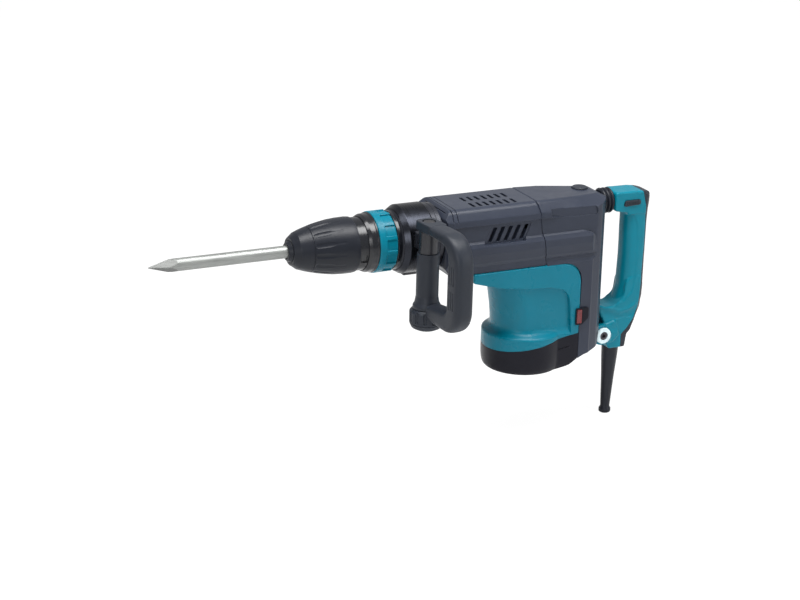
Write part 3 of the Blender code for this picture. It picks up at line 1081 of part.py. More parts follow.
def make_side_base():
    base = turned("side_handle_base", [
        (BASE_FRONT_X, BARREL_RADIUS + GAP), (BASE_FRONT_X, BARREL_RADIUS + 0.0015), (BASE_FRONT_X + 0.008, BASE_RING_RADIUS),
        (FLANGE_FRONT_X - 0.001, BASE_RING_RADIUS), (FLANGE_FRONT_X, BASE_RING_RADIUS - 0.001),
        (FLANGE_FRONT_X, BARREL_RADIUS + GAP)], steps=RING_STEPS)
    boss = tube("boss", BOSS_BOTTOM_Z, BOSS_TOP_Z, BOSS_RADIUS, axis="Z", at=(SIDE_X, SIDE_Y, 0), steps=16)
    join(base, boss)
    ear = box("ear", (SIDE_X - 0.010, SIDE_Y, BOSS_BOTTOM_Z + 0.001), (SIDE_X + 0.010, -BARREL_RADIUS - 0.002, BOSS_TOP_Z - 0.008))
    join(base, ear)
    cut(base, tube("bolt_hole", -0.05, 0.08, CLAMP_BOLT_RADIUS + GAP, axis="Z", at=(SIDE_X, SIDE_Y, 0), steps=SMALL_STEPS))
    alloy(base)


def make_side_handle():
    post = add_pivot("side_handle_axis",
                     Matrix.Translation((SIDE_X, SIDE_Y, 0)) @ Matrix.Rotation(-radians(SIDE_TURN), 4, "Z"))
    reach, low, high = SIDE_REACH, SIDE_BOTTOM_Z, SIDE_TOP_Z
    grip = 0.0170
    arm_low = BOSS_TOP_Z + GAP
    outline = rounded([
        (-0.0150, high, 0.003), (reach - 0.030, high - 0.001, 0.03), (reach + grip, high - 0.012, 0.030),
        (reach + grip - 0.001, low, 0.020), (0.040, low, 0.012), (0.0240, SADDLE_Z), (0.010, SADDLE_Z),
        (0.010, SADDLE_Z + 0.011), (0.016, SADDLE_Z + 0.013, 0.002), (0.030, SADDLE_Z + 0.013, 0.010),
        (reach - grip, SADDLE_Z + 0.0135, 0.012),
        (reach - grip + 0.001, -0.030, 0.03), (reach - grip, high - 0.022, 0.014), (0.030, arm_low - 0.003, 0.008),
        (0.0160, arm_low), (-0.0150, arm_low)], 3)
    handle = prism("side_handle", [outline], "Y", -SIDE_HALF_WIDTH, SIDE_HALF_WIDTH, parent=post)
    bevel(handle, 0.0065, 2, 50.0)
    sleeve = turned("sleeve", [
        (SIDE_SPLIT_Z, 0.0), (SIDE_SPLIT_Z, SIDE_SLEEVE_RADIUS), (SADDLE_Z + 0.016, SIDE_SLEEVE_RADIUS),
        (SADDLE_Z + 0.008, SIDE_SLEEVE_RADIUS + 0.002), (SADDLE_Z + 0.004, SIDE_SLEEVE_RADIUS + 0.004),
        (SADDLE_Z, SIDE_SLEEVE_RADIUS + 0.0042), (SADDLE_Z, 0.0)], axis="Z", steps=28, parent=post)
    join(handle, sleeve)
    cut(handle, turned("bolt_hole", [
        (-0.2, 0.0), (-0.2, CLAMP_BOLT_RADIUS + GAP), (high - 0.006, CLAMP_BOLT_RADIUS + GAP),
        (high - 0.006, 0.0096), (high + 0.02, 0.0096), (high + 0.02, 0.0)], axis="Z", steps=SMALL_STEPS, parent=post))
    rubber(handle)

    knob_top = SADDLE_Z - GAP
    bolt_low = knob_top - KNOB_HEIGHT + 0.006
    bolt = tube("clamp_bolt", bolt_low, high - 0.004, CLAMP_BOLT_RADIUS, axis="Z", at=(SIDE_X, SIDE_Y, 0), steps=SMALL_STEPS)
    head = arc((0, 0), 0.0090, 0, 360, 6)[:-1]
    join(bolt, prism("head", [head], "Z", high - 0.006 + GAP, high - 0.0005, at=(SIDE_X, SIDE_Y, 0)))
    dark_steel(bolt)

    petals = []
    step = 360.0 / KNOB_FLUTES
    for i in range(KNOB_FLUTES):
        petals += arc((0, 0), KNOB_RADIUS, (i - 0.30) * step, (i + 0.30) * step, 1)
        petals += arc((0, 0), KNOB_RADIUS - 0.0015, (i + 0.42) * step, (i + 0.58) * step, 1)
    knob = prism("clamp_knob", [petals], "Z", knob_top - KNOB_HEIGHT, knob_top, at=(SIDE_X, SIDE_Y, 0))
    keep_common(knob, turned("knob_form", [
        (knob_top - KNOB_HEIGHT, 0.0), (knob_top - KNOB_HEIGHT, KNOB_RADIUS - 0.010),
        (knob_top - KNOB_HEIGHT + 0.004, KNOB_RADIUS - 0.0035), (knob_top - KNOB_HEIGHT + 0.012, KNOB_RADIUS + 0.0002),
        (knob_top - 0.004, KNOB_RADIUS + 0.0002), (knob_top, KNOB_RADIUS - 0.003), (knob_top, 0.0)],
        axis="Z", at=(SIDE_X, SIDE_Y, 0), steps=36))
    cut(knob, tube("thread", bolt_low - GAP, knob_top + 0.01, CLAMP_BOLT_RADIUS + GAP, axis="Z", at=(SIDE_X, SIDE_Y, 0), steps=SMALL_STEPS))
    rubber(knob)


make_chisel()
make_balls()
make_nose()
make_barrel()
make_mechanism()
make_gears()
make_plate()
make_motor()
make_front_housing()
make_rear_housing()
make_motor_housing()
make_motor_cap()
make_lamp()
make_rear_handle()
make_bellows()
make_cord_guard()
make_side_base()
make_side_handle()
carry(add_pivot("rear_handle_pivot", Matrix.Translation((PIVOT_X, 0.0, PIVOT_Z))),
      ("handle_shell_near", "handle_shell_far", "handle_grip_pad", "switch_bar", "switch_body", "pivot_ring_near",
       "pivot_ring_far", "pivot_bolt", "handle_screw_upper", "handle_screw_lower", "cord_guard", "cord_clip"))
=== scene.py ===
import json
import bpy
import bmesh
from math import cos, exp, hypot, pi, radians, sin, sqrt, tan
from mathutils import Matrix, Vector

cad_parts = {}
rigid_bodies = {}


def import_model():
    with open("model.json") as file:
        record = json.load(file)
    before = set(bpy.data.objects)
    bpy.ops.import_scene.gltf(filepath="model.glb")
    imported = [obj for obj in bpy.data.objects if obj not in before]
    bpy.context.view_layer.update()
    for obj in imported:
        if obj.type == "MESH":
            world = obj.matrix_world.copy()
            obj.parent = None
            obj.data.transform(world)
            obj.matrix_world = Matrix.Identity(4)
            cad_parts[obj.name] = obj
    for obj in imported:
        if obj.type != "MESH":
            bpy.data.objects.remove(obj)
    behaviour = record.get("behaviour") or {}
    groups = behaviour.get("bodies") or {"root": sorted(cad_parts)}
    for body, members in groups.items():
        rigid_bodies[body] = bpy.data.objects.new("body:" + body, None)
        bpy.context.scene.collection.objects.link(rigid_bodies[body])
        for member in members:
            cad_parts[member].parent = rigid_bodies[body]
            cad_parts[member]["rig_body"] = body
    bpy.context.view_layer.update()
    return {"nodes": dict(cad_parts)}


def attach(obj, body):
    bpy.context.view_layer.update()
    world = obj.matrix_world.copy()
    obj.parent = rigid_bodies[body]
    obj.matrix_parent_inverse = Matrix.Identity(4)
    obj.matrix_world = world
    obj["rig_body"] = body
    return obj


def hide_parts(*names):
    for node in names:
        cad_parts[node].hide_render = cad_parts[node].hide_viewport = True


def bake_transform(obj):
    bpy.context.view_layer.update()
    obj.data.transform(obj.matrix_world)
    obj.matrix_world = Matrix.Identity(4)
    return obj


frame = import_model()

scene = bpy.context.scene
# Pieces are drawn in millimetres in the hammer's own frame: x runs back from the nose, z up from
# the hammer axis, and the near side is at -y. finishPiece brings each one to its place.
toFrame = Matrix.Translation((-0.371, 0.0, 0.216)) @ Matrix.Scale(0.001, 4)
gap = 0.3  # between fitted pieces


def inFrame(x, y, z):
    return tuple(toFrame @ Vector((x, y, z)))


# shapes
def asObject(name, shape):
    bmesh.ops.recalc_face_normals(shape, faces=shape.faces)
    mesh = bpy.data.meshes.new(name)
    shape.to_mesh(mesh)
    shape.free()
    obj = bpy.data.objects.new(name, mesh)
    scene.collection.objects.link(obj)
    return obj


def roundOutline(corners, steps=6, closed=True):
    # corners are (x, y) or (x, y, radius)
    outline = []
    for i, corner in enumerate(corners):
        here = Vector(corner[:2])
        if len(corner) < 3 or (not closed and i in (0, len(corners) - 1)):
            outline.append(tuple(here))
            continue
        a = Vector(corners[i - 1][:2]) - here
        b = Vector(corners[(i + 1) % len(corners)][:2]) - here
        half = a.angle(b) / 2
        reach = min(corner[2] / tan(half), 0.49 * a.length, 0.49 * b.length)
        if reach < 0.001:
            outline.append(tuple(here))
            continue
        a, b = a.normalized() * reach, b.normalized() * reach
        centre = (a + b).normalized() * reach / cos(half)
        for k in range(steps + 1):
            arm = (a - centre).slerp(b - centre, k / steps) * reach * tan(half)
            outline.append(tuple(here + centre + arm))
    return outline


def arcPoints(cx, cy, radius, start, end, steps):
    turns = [radians(start + (end - start) * k / steps) for k in range(steps + 1)]
    return [(cx + radius * cos(t), cy + radius * sin(t)) for t in turns]


def between(keys, x):
    # a value read off a list of (place, value, ...) keys, in straight lines from key to key
    if x <= keys[0][0]:
        return keys[0][1:]
    for low, high in zip(keys, keys[1:]):
        if x <= high[0]:
            share = (x - low[0]) / (high[0] - low[0])
            return tuple(a + (b - a) * share for a, b in zip(low[1:], high[1:]))
    return keys[-1][1:]


def onAxis(axis, along, a, b):
    return {"X": (along, a, b), "Y": (b, along, a), "Z": (a, b, along)}[axis]


def turned(name, corners, axis="X", centre=(0, 0, 0), steps=96):
    # a solid of revolution from a closed outline of (along, radius) corners
    shape = bmesh.new()
    rings = []
    for along, radius in roundOutline(corners, 4):
        turns = range(steps) if radius > 0.001 else range(1)
        ring = [(2 * pi * (k + 0.5) / steps) for k in turns]
        ring = [onAxis(axis, along, radius * cos(turn), radius * sin(turn)) for turn in ring]
        rings.append([shape.verts.new(Vector(p) + Vector(centre)) for p in ring])
    for a, b in zip(rings, rings[1:] + rings[:1]):
        for k in range(steps):
            m = (k + 1) % steps
            edge = ([a[k], a[m]] if len(a) > 1 else [a[0]]) + ([b[m], b[k]] if len(b) > 1 else [b[0]])
            if len(edge) > 2:
                shape.faces.new(edge)
    return asObject(name, shape)


def skinned(name, rings):
    # a closed skin over rings of equally many points
    shape = bmesh.new()
    rows = [[shape.verts.new(p) for p in ring] for ring in rings]
    count = len(rows[0])
    for a, b in zip(rows, rows[1:]):
        for k in range(count):
            m = (k + 1) % count
            shape.faces.new((a[k], a[m], b[m], b[k]))
    shape.faces.new(rows[0])
    shape.faces.new(rows[-1])
    return asObject(name, shape)


def slab(name, outline, axis, low, high):
    # an outline of (y, z), (x, z) or (x, y) points drawn out along X, Y or Z
    order = {"X": (2, 0, 1), "Y": (0, 2, 1), "Z": (0, 1, 2)}[axis]
    rings = []
    for end in (low, high):
        rings.append([tuple((a, b, end)[k] for k in order) for a, b in outline])
    return skinned(name, rings)


def block(name, low, high):
    plan = [(low[0], low[1]), (high[0], low[1]), (high[0], high[1]), (low[0], high[1])]
    return slab(name, plan, "Z", low[2], high[2])


def rod(name, radius, axis, low, high, centre=(0, 0, 0), steps=24):
    return turned(name, [(low, 0), (low, radius), (high, radius), (high, 0)], axis, centre, steps)


def bentBar(name, route, sizes, power, spacing=2.5, around=44):
    # a bar of rounded section along a bent line in the xz plane; sizes are (share, in plane, across)
    line = [Vector(p) for p in roundOutline(route, 14, closed=False)]
    marks = [0.0]
    for a, b in zip(line, line[1:]):
        marks.append(marks[-1] + (b - a).length)
    keys = [(m, p.x, p.y) for m, p in zip(marks, line)]
    count = int(marks[-1] / spacing)
    rings = []
    for i in range(count + 1):
        at = marks[-1] * i / count
        x, z = between(keys, at)
        ahead, behind = Vector(between(keys, at + 1.5)), Vector(between(keys, at - 1.5))
        along = (ahead - behind).normalized()
        inPlane, across = between(sizes, i / count)
        ring = []
        for k in range(around):
            c, s = cos(2 * pi * k / around), sin(2 * pi * k / around)
            c = (abs(c) ** (2 / power)) * (1 if c >= 0 else -1) * inPlane
            s = (abs(s) ** (2 / power)) * (1 if s >= 0 else -1) * across
            ring.append((x - along.y * c, s, z + along.x * c))
        rings.append(ring)
    return skinned(name, rings)


def coil(name, start, end, radius, wire, turns, z=0.0, around=10, perTurn=36):
    rings = []
    count = turns * perTurn
    for i in range(count + 1):
        t = 2 * pi * i / perTurn
        x = start + wire + (end - start - 2 * wire) * i / count
        ring = []
        for k in range(around):
            a = 2 * pi * k / around
            reach = radius + wire * cos(a)
            ring.append((x + wire * sin(a), reach * cos(t), z + reach * sin(t)))
        rings.append(ring)
    return skinned(name, rings)


def applyModifiers(obj):
    mesh = bpy.data.meshes.new_from_object(obj.evaluated_get(bpy.context.evaluated_depsgraph_get()))
    obj.modifiers.clear()
    old, obj.data = obj.data, mesh
    bpy.data.meshes.remove(old)
    return obj


def dropObject(obj):
    mesh = obj.data
    bpy.data.objects.remove(obj)
    bpy.data.meshes.remove(mesh)


def combine(first, *others):
    shape = bmesh.new()
    for obj in (first,) + others:
        shape.from_mesh(obj.data)
    shape.to_mesh(first.data)
    shape.free()
    for obj in others:
        dropObject(obj)
    return first


def carve(obj, tool, operation="DIFFERENCE"):
    step = obj.modifiers.new("carve", "BOOLEAN")
    step.solver = "EXACT"
    step.operation = operation
    step.object = tool
    weld = obj.modifiers.new("weld", "WELD")
    weld.merge_threshold = 0.004
    applyModifiers(obj)
    dropObject(tool)
    return obj


def addOn(obj, tool):
    return carve(obj, tool, "UNION")


def keepInside(obj, tool):
    return carve(obj, tool, "INTERSECT")


def softened(obj, width, segments=4, angle=50):
    step = obj.modifiers.new("soft edges", "BEVEL")
    step.width = width
    step.segments = segments
    step.limit_method = "ANGLE"
    step.angle_limit = radians(angle)
    return applyModifiers(obj)


def shifted(obj, matrix):
    obj.data.transform(matrix)
    return obj


def finishPiece(obj, material, slot, *nodes, sharp=32, shared=None):
    for polygon in obj.data.polygons:
        polygon.use_smooth = True
    obj.data.set_sharp_from_angle(angle=radians(sharp))
    even = obj.modifiers.new("even normals", "WEIGHTED_NORMAL")
    even.keep_sharp = True
    applyModifiers(obj)
    obj.data.transform(toFrame)
    obj.data.materials.clear()
    obj.data.materials.append(material)
    if shared:
        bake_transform(obj)
    else:
        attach(obj, frame["nodes"][nodes[0]]["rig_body"])
    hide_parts(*nodes)
    return obj


# geometry nodes
def newTree(name, inputs):
    tree = bpy.data.node_groups.new(name, "GeometryNodeTree")
    tree.interface.new_socket("Geometry", in_out="INPUT", socket_type="NodeSocketGeometry")
    for label, kind in inputs:
        tree.interface.new_socket(label, in_out="INPUT", socket_type="NodeSocket" + kind)
    tree.interface.new_socket("Geometry", in_out="OUTPUT", socket_type="NodeSocketGeometry")
    return tree, tree.nodes.new("NodeGroupInput").outputs, tree.nodes.new("NodeGroupOutput").inputs


def put(tree, kind, values=None, **settings):
    node = tree.nodes.new(kind)
    for key, value in settings.items():
        setattr(node, key, value)
    for key, value in (values or {}).items():
        if isinstance(value, bpy.types.NodeSocket):
            tree.links.new(value, node.inputs[key])
        else:
            node.inputs[key].default_value = value
    return node


def makeRepeatTree():
    # copies of one shape, each a step and a turn on from the last
    tree, given, result = newTree("repeatShape", (
        ("Shape", "Object"), ("Count", "Int"), ("Start", "Vector"), ("Step", "Vector"), ("Turn", "Vector"),
        ("Finish", "Material")))
    index = put(tree, "GeometryNodeInputIndex").outputs[0]
    moved = put(tree, "ShaderNodeVectorMath", {0: given["Step"], "Scale": index}, operation="SCALE")
    spot = put(tree, "ShaderNodeVectorMath", {0: given["Start"], 1: moved.outputs[0]}, operation="ADD")
    turn = put(tree, "ShaderNodeVectorMath", {0: given["Turn"], "Scale": index}, operation="SCALE")
    points = put(tree, "GeometryNodePoints", {"Count": given["Count"], "Position": spot.outputs[0]})
    shape = put(tree, "GeometryNodeObjectInfo", {"Object": given["Shape"]}, transform_space="ORIGINAL")
    copies = put(tree, "GeometryNodeInstanceOnPoints", {
        "Points": points.outputs[0], "Instance": shape.outputs["Geometry"], "Rotation": turn.outputs[0]})
    real = put(tree, "GeometryNodeRealizeInstances", {0: copies.outputs[0]})
    done = put(tree, "GeometryNodeSetMaterial", {"Geometry": real.outputs[0], "Material": given["Finish"]})
    tree.links.new(done.outputs[0], result[0])
    return tree


def makeFoldTree():
    # a folded sleeve along X: its radius swells and falls with each fold
    tree, given, result = newTree("foldedSleeve", (
        ("Start", "Vector"), ("End", "Vector"), ("Folds", "Float"), ("Radius", "Float"), ("Depth", "Float"),
        ("Finish", "Material")))
    line = put(tree, "GeometryNodeCurvePrimitiveLine", {"Start": given["Start"], "End": given["End"]})
    fine = put(tree, "GeometryNodeResampleCurve", {"Curve": line.outputs[0], "Count": 90})
    share = put(tree, "GeometryNodeSplineParameter").outputs["Factor"]
    phase = put(tree, "ShaderNodeMath", {0: share, 1: given["Folds"]}, operation="MULTIPLY")
    turns = put(tree, "ShaderNodeMath", {0: phase.outputs[0], 1: pi}, operation="MULTIPLY")
    wave = put(tree, "ShaderNodeMath", {0: turns.outputs[0]}, operation="SINE")
    fold = put(tree, "ShaderNodeMath", {0: wave.outputs[0]}, operation="ABSOLUTE")
    swell = put(tree, "ShaderNodeMath", {0: fold.outputs[0], 1: given["Depth"], 2: given["Radius"]},
                operation="MULTIPLY_ADD")
    circle = put(tree, "GeometryNodeCurvePrimitiveCircle", {"Resolution": 72, "Radius": 1.0}, mode="RADIUS")
    sized = put(tree, "GeometryNodeSetCurveRadius", {"Curve": fine.outputs[0], "Radius": swell.outputs[0]})
    sleeve = put(tree, "GeometryNodeCurveToMesh", {
        0: sized.outputs[0], 1: circle.outputs[0], "Fill Caps": True})
    if "Scale" in sleeve.inputs:
        tree.links.new(swell.outputs[0], sleeve.inputs["Scale"])
    welded = put(tree, "GeometryNodeMergeByDistance", {0: sleeve.outputs[0], "Distance": 0.004})
    real = put(tree, "GeometryNodeRealizeInstances", {0: welded.outputs[0]})
    done = put(tree, "GeometryNodeSetMaterial", {"Geometry": real.outputs[0], "Material": given["Finish"]})
    tree.links.new(done.outputs[0], result[0])
    return tree


repeatTree = makeRepeatTree()
foldTree = makeFoldTree()


def grown(name, tree, values):
    # runs a tree on an empty mesh and leaves a plain mesh
    obj = asObject(name, bmesh.new())
    step = obj.modifiers.new(tree.name, "NODES")
    step.node_group = tree
    for item in tree.interface.items_tree:
        if item.in_out == "INPUT" and item.name in values:
            step[item.identifier] = values[item.name]
    return applyModifiers(obj)


def repeated(shape, count, step=(0, 0, 0), turn=(0, 0, 0), start=(0, 0, 0)):
    obj = grown(shape.name + "Row", repeatTree, {
        "Shape": shape, "Count": count, "Step": step, "Turn": turn, "Start": start})
    dropObject(shape)
    return obj


# shader node groups
def newGroup(name, inputs, outputs):
    tree = bpy.data.node_groups.new(name, "ShaderNodeTree")
    for label, value in inputs.items():
        kind = "NodeSocketFloat" if isinstance(value, float) else "NodeSocketColor"
        kind = "NodeSocketVector" if isinstance(value, tuple) and len(value) == 3 else kind
        socket = tree.interface.new_socket(label, in_out="INPUT", socket_type=kind)
        socket.default_value = value
    for label, kind in outputs.items():
        tree.interface.new_socket(label, in_out="OUTPUT", socket_type="NodeSocket" + kind)
    return tree, tree.nodes.new("NodeGroupInput").outputs, tree.nodes.new("NodeGroupOutput").inputs


def math(tree, operation, *values, clamp=False):
    node = put(tree, "ShaderNodeMath", dict(enumerate(values)), operation=operation)
    node.use_clamp = clamp
    return node.outputs[0]


def noise(tree, where, scale, detail=3.0, distortion=0.0):
    values = {"Vector": where, "Scale": scale, "Detail": detail, "Distortion": distortion}
    return put(tree, "ShaderNodeTexNoise", values).outputs[0]


def makeMouldedSkin():
    # moulded plastic: slow drift of tone, fine grain, and rubbed and dull patches
    tree, given, result = newGroup("mouldedSkin", {
        "Colour": (0.1, 0.1, 0.1, 1.0), "Drift": 0.2, "Grain Scale": 1400.0, "Rough": 0.45,
        "Rough Drift": 0.2}, {"Colour": "Color", "Roughness": "Float", "Height": "Float"})
    where = put(tree, "ShaderNodeTexCoord").outputs["Object"]
    broad = math(tree, "SUBTRACT", noise(tree, where, 17.0), 0.5)
    tone = math(tree, "MULTIPLY_ADD", broad, given["Drift"], 1.0)
    tinted = put(tree, "ShaderNodeVectorMath", {0: given["Colour"], "Scale": tone}, operation="SCALE")
    tree.links.new(tinted.outputs[0], result["Colour"])
    patches = math(tree, "SUBTRACT", noise(tree, where, 48.0, 4.0, 0.8), 0.5)
    rough = math(tree, "MULTIPLY_ADD", patches, given["Rough Drift"], given["Rough"], clamp=True)
    tree.links.new(rough, result["Roughness"])
    grain = noise(tree, where, given["Grain Scale"], 2.0)
    tree.links.new(grain, result["Height"])
    return tree


def makeEdgeRubAndHighlight():
    # rounds the look of edges and says where they are rubbed and where they catch light: its mask marks real
    # wear and a painted highlight together
    tree, given, result = newGroup("edgeRub", {"Reach": 0.0006, "Strength": 0.5},
                                   {"Mask": "Float", "Normal": "Vector"})
    rounded = put(tree, "ShaderNodeBevel", {"Radius": given["Reach"]}, samples=4)
    flat = put(tree, "ShaderNodeNewGeometry").outputs["Normal"]
    same = put(tree, "ShaderNodeVectorMath", {0: rounded.outputs[0], 1: flat}, operation="DOT_PRODUCT")
    turn = math(tree, "SUBTRACT", 1.0, same.outputs["Value"])
    edge = math(tree, "MULTIPLY", turn, 7.0, clamp=True)
    where = put(tree, "ShaderNodeTexCoord").outputs["Object"]
    patches = math(tree, "MULTIPLY_ADD", noise(tree, where, 85.0, 4.0), 2.4, -0.55, clamp=True)
    # patchy edge mask: partly rubbed wear, partly a painted highlight where the edges catch light
    rubbedAndLit = math(tree, "MULTIPLY", edge, patches)
    tree.links.new(math(tree, "MULTIPLY", rubbedAndLit, given["Strength"]), result["Mask"])
    tree.links.new(rounded.outputs[0], result["Normal"])
    return tree


def makeBrushedMetal():
    # fine lines drawn out across the stretch, over cloudy tone
    tree, given, result = newGroup("brushedMetal", {
        "Colour": (0.5, 0.5, 0.5, 1.0), "Stretch": (900.0, 60.0, 60.0), "Contrast": 0.3, "Rough": 0.3},
        {"Colour": "Color", "Roughness": "Float", "Height": "Float"})
    where = put(tree, "ShaderNodeTexCoord").outputs["Object"]
    drawn = put(tree, "ShaderNodeVectorMath", {0: where, 1: given["Stretch"]}, operation="MULTIPLY")
    lines = math(tree, "SUBTRACT", noise(tree, drawn.outputs[0], 1.0, 4.0), 0.5)
    clouds = math(tree, "SUBTRACT", noise(tree, where, 30.0, 4.0, 0.5), 0.5)
    both = math(tree, "ADD", lines, clouds)
    tone = math(tree, "MULTIPLY_ADD", both, given["Contrast"], 1.0)
    tinted = put(tree, "ShaderNodeVectorMath", {0: given["Colour"], "Scale": tone}, operation="SCALE")
    tree.links.new(tinted.outputs[0], result["Colour"])
    rough = math(tree, "MULTIPLY_ADD", both, 0.25, given["Rough"], clamp=True)
    tree.links.new(rough, result["Roughness"])
    tree.links.new(lines, result["Height"])
    return tree


mouldedSkin = makeMouldedSkin()
edgeRub = makeEdgeRubAndHighlight()
brushedMetal = makeBrushedMetal()


def newMaterial(name):
    material = bpy.data.materials.new(name)
    material.use_nodes = True
    return material, material.node_tree, material.node_tree.nodes["Principled BSDF"]


def fromGroup(tree, group, values):
    node = tree.nodes.new("ShaderNodeGroup")
    node.node_tree = group
    for key, value in values.items():
        node.inputs[key].default_value = value
    return node.outputs


def surface(tree, shader, skin, edge, wearAndHighlightColour, bump):
    # joins a skin and its rubbed edges to the shader; the paler colour on the edges is partly wear and
    # partly a painted highlight
    mixed = put(tree, "ShaderNodeMix", {"Factor": edge["Mask"]}, data_type="RGBA")
    tree.links.new(skin["Colour"], mixed.inputs[6])
    mixed.inputs[7].default_value = (*wearAndHighlightColour, 1.0)
    tree.links.new(mixed.outputs[2], shader.inputs["Base Color"])
    tree.links.new(skin["Roughness"], shader.inputs["Roughness"])
    relief = put(tree, "ShaderNodeBump", {"Distance": bump, "Strength": 0.6, "Height": skin["Height"],
                                          "Normal": edge["Normal"]})
    tree.links.new(relief.outputs[0], shader.inputs["Normal"])


def plastic(name, colour, rough, drift=0.25, grain=0.00010, grainScale=1300.0, rubAndHighlight=0.5, reach=0.0008,
            gloss=0.5):
    material, tree, shader = newMaterial(name)
    skin = fromGroup(tree, mouldedSkin, {"Colour": (*colour, 1.0), "Drift": drift, "Grain Scale": grainScale,
                                         "Rough": rough, "Rough Drift": 0.22})
    edge = fromGroup(tree, edgeRub, {"Reach": reach, "Strength": rubAndHighlight})
    # paler edge colour: partly wear, partly a painted highlight where edges catch light
    wearAndHighlightColour = tuple(min(1.0, c * 1.9 + 0.012) for c in colour)
    surface(tree, shader, skin, edge, wearAndHighlightColour, grain)
    shader.inputs["Specular IOR Level"].default_value = gloss
    return material


def metal(name, colour, rough, contrast=0.35, stretch=(900.0, 60.0, 60.0), bump=0.00004, rubAndHighlight=0.4,
          metallic=1.0):
    material, tree, shader = newMaterial(name)
    skin = fromGroup(tree, brushedMetal, {"Colour": (*colour, 1.0), "Stretch": stretch, "Contrast": contrast,
                                          "Rough": rough})
    edge = fromGroup(tree, edgeRub, {"Reach": 0.0006, "Strength": rubAndHighlight})
    # paler edge colour: partly wear, partly a painted highlight where edges catch light
    wearAndHighlightColour = tuple(min(1.0, c * 1.5 + 0.05) for c in colour)
    surface(tree, shader, skin, edge, wearAndHighlightColour, bump)
    shader.inputs["Metallic"].default_value = metallic
    return material


finishes = {
    "housing black": plastic("housingBlack", (0.026, 0.032, 0.050), 0.33, grain=0.00004, gloss=0.26),
    "cap black": plastic("capBlack", (0.005, 0.005, 0.010), 0.34, grain=0.00004, gloss=0.16),
    "soft black": plastic("softBlack", (0.020, 0.024, 0.033), 0.44, grain=0.00008, grainScale=900.0,
                          gloss=0.24),
    "rubber": plastic("rubberBlack", (0.009, 0.011, 0.017), 0.36, grain=0.00006, grainScale=900.0,
                      gloss=0.26),
    "gloss black": plastic("glossBlack", (0.004, 0.005, 0.008), 0.20, grain=0.00003, gloss=0.5),
    "teal plastic": plastic("tealPlastic", (0.0, 0.155, 0.225), 0.30, drift=0.16, grain=0.00002, gloss=0.2),
    "teal grip": plastic("tealGrip", (0.0, 0.175, 0.245), 0.34, drift=0.16, grain=0.00005, gloss=0.2),
    "white plastic": plastic("whitePlastic", (0.66, 0.80, 0.84), 0.35, drift=0.08, rubAndHighlight=0.0),
    "lamp red": plastic("lampRed", (0.16, 0.018, 0.022), 0.14, drift=1.2, grain=0.00002, rubAndHighlight=0.9),
    "steel": metal("groundSteel", (0.52, 0.53, 0.54), 0.30),
    "dark steel": metal("darkSteel", (0.07, 0.07, 0.08), 0.36),
    "barrel alloy": metal("barrelAlloy", (0.018, 0.020, 0.028), 0.34, stretch=(700.0, 30.0, 30.0),
                          metallic=0.5),
    "cast alloy": metal("castAlloy", (0.075, 0.085, 0.105), 0.36, stretch=(900.0, 25.0, 25.0)),
    "copper": metal("turnedCopper", (0.72, 0.35, 0.16), 0.32, stretch=(60.0, 60.0, 900.0)),
    "brass": metal("stampedBrass", (0.70, 0.52, 0.20), 0.35, stretch=(90.0, 90.0, 300.0)),
    "carbon": plastic("pressedCarbon", (0.02, 0.02, 0.02), 0.6, grainScale=700.0),
}
print("materials ready")


# camera, light and floor
studio = {"lens": 99.0, "place": (-1.47646, -2.68886, 1.1615), "floor": -0.1015, "sky": 0.20,
          "mirrored": 0.45}


def makeCamera():
    camera = bpy.data.objects.new("camera", bpy.data.cameras.new("camera"))
    scene.collection.objects.link(camera)
    camera.data.sensor_width = 36.0
    camera.data.lens = studio["lens"]
    camera.data.clip_end = 50
    # solved with its place and lens from the hammer's own edges and circles
    rows = ((0.90679, 0.11833, -0.40463), (-0.42091, 0.30838, -0.85308), (0.02383, 0.94387, 0.32945))
    place = Matrix(rows).to_4x4()
    place.translation = studio["place"]
    camera.matrix_world = place
    scene.camera = camera


def makeLamp(name, place, target, size, power):
    lamp = bpy.data.lights.new(name, "AREA")
    lamp.shape = "RECTANGLE"
    lamp.size, lamp.size_y = size
    lamp.energy = power
    obj = bpy.data.objects.new(name, lamp)
    scene.collection.objects.link(obj)
    obj.location = place
    obj.rotation_euler = (Vector(target) - Vector(place)).to_track_quat("-Z", "Y").to_euler()


def makeStudio():
    makeLamp("topSoftbox", (-0.1, -0.3, 1.9), (0.0, 0.0, 0.1), (2.0, 0.9), 62.0)
    makeLamp("frontSoftbox", (-1.9, -2.0, 0.9), (0.0, 0.0, 0.1), (0.5, 1.2), 15.0)
    makeLamp("sideSoftbox", (1.7, -2.0, 0.8), (0.0, 0.0, 0.1), (0.3, 1.4), 12.0)
    world = bpy.data.worlds.new("studio")
    scene.world = world
    world.use_nodes = True
    tree = world.node_tree
    ray = put(tree, "ShaderNodeLightPath").outputs
    seen = math(tree, "MULTIPLY_ADD", ray["Is Glossy Ray"], studio["mirrored"], ray["Is Camera Ray"])
    seen = math(tree, "ADD", seen, ray["Is Transmission Ray"], clamp=True)
    strength = math(tree, "MULTIPLY_ADD", seen, 1.0 - studio["sky"], studio["sky"])
    sky = tree.nodes["Background"]
    sky.inputs["Color"].default_value = (1, 1, 1, 1)
    tree.links.new(strength, sky.inputs["Strength"])
    scene.view_settings.view_transform = "Standard"


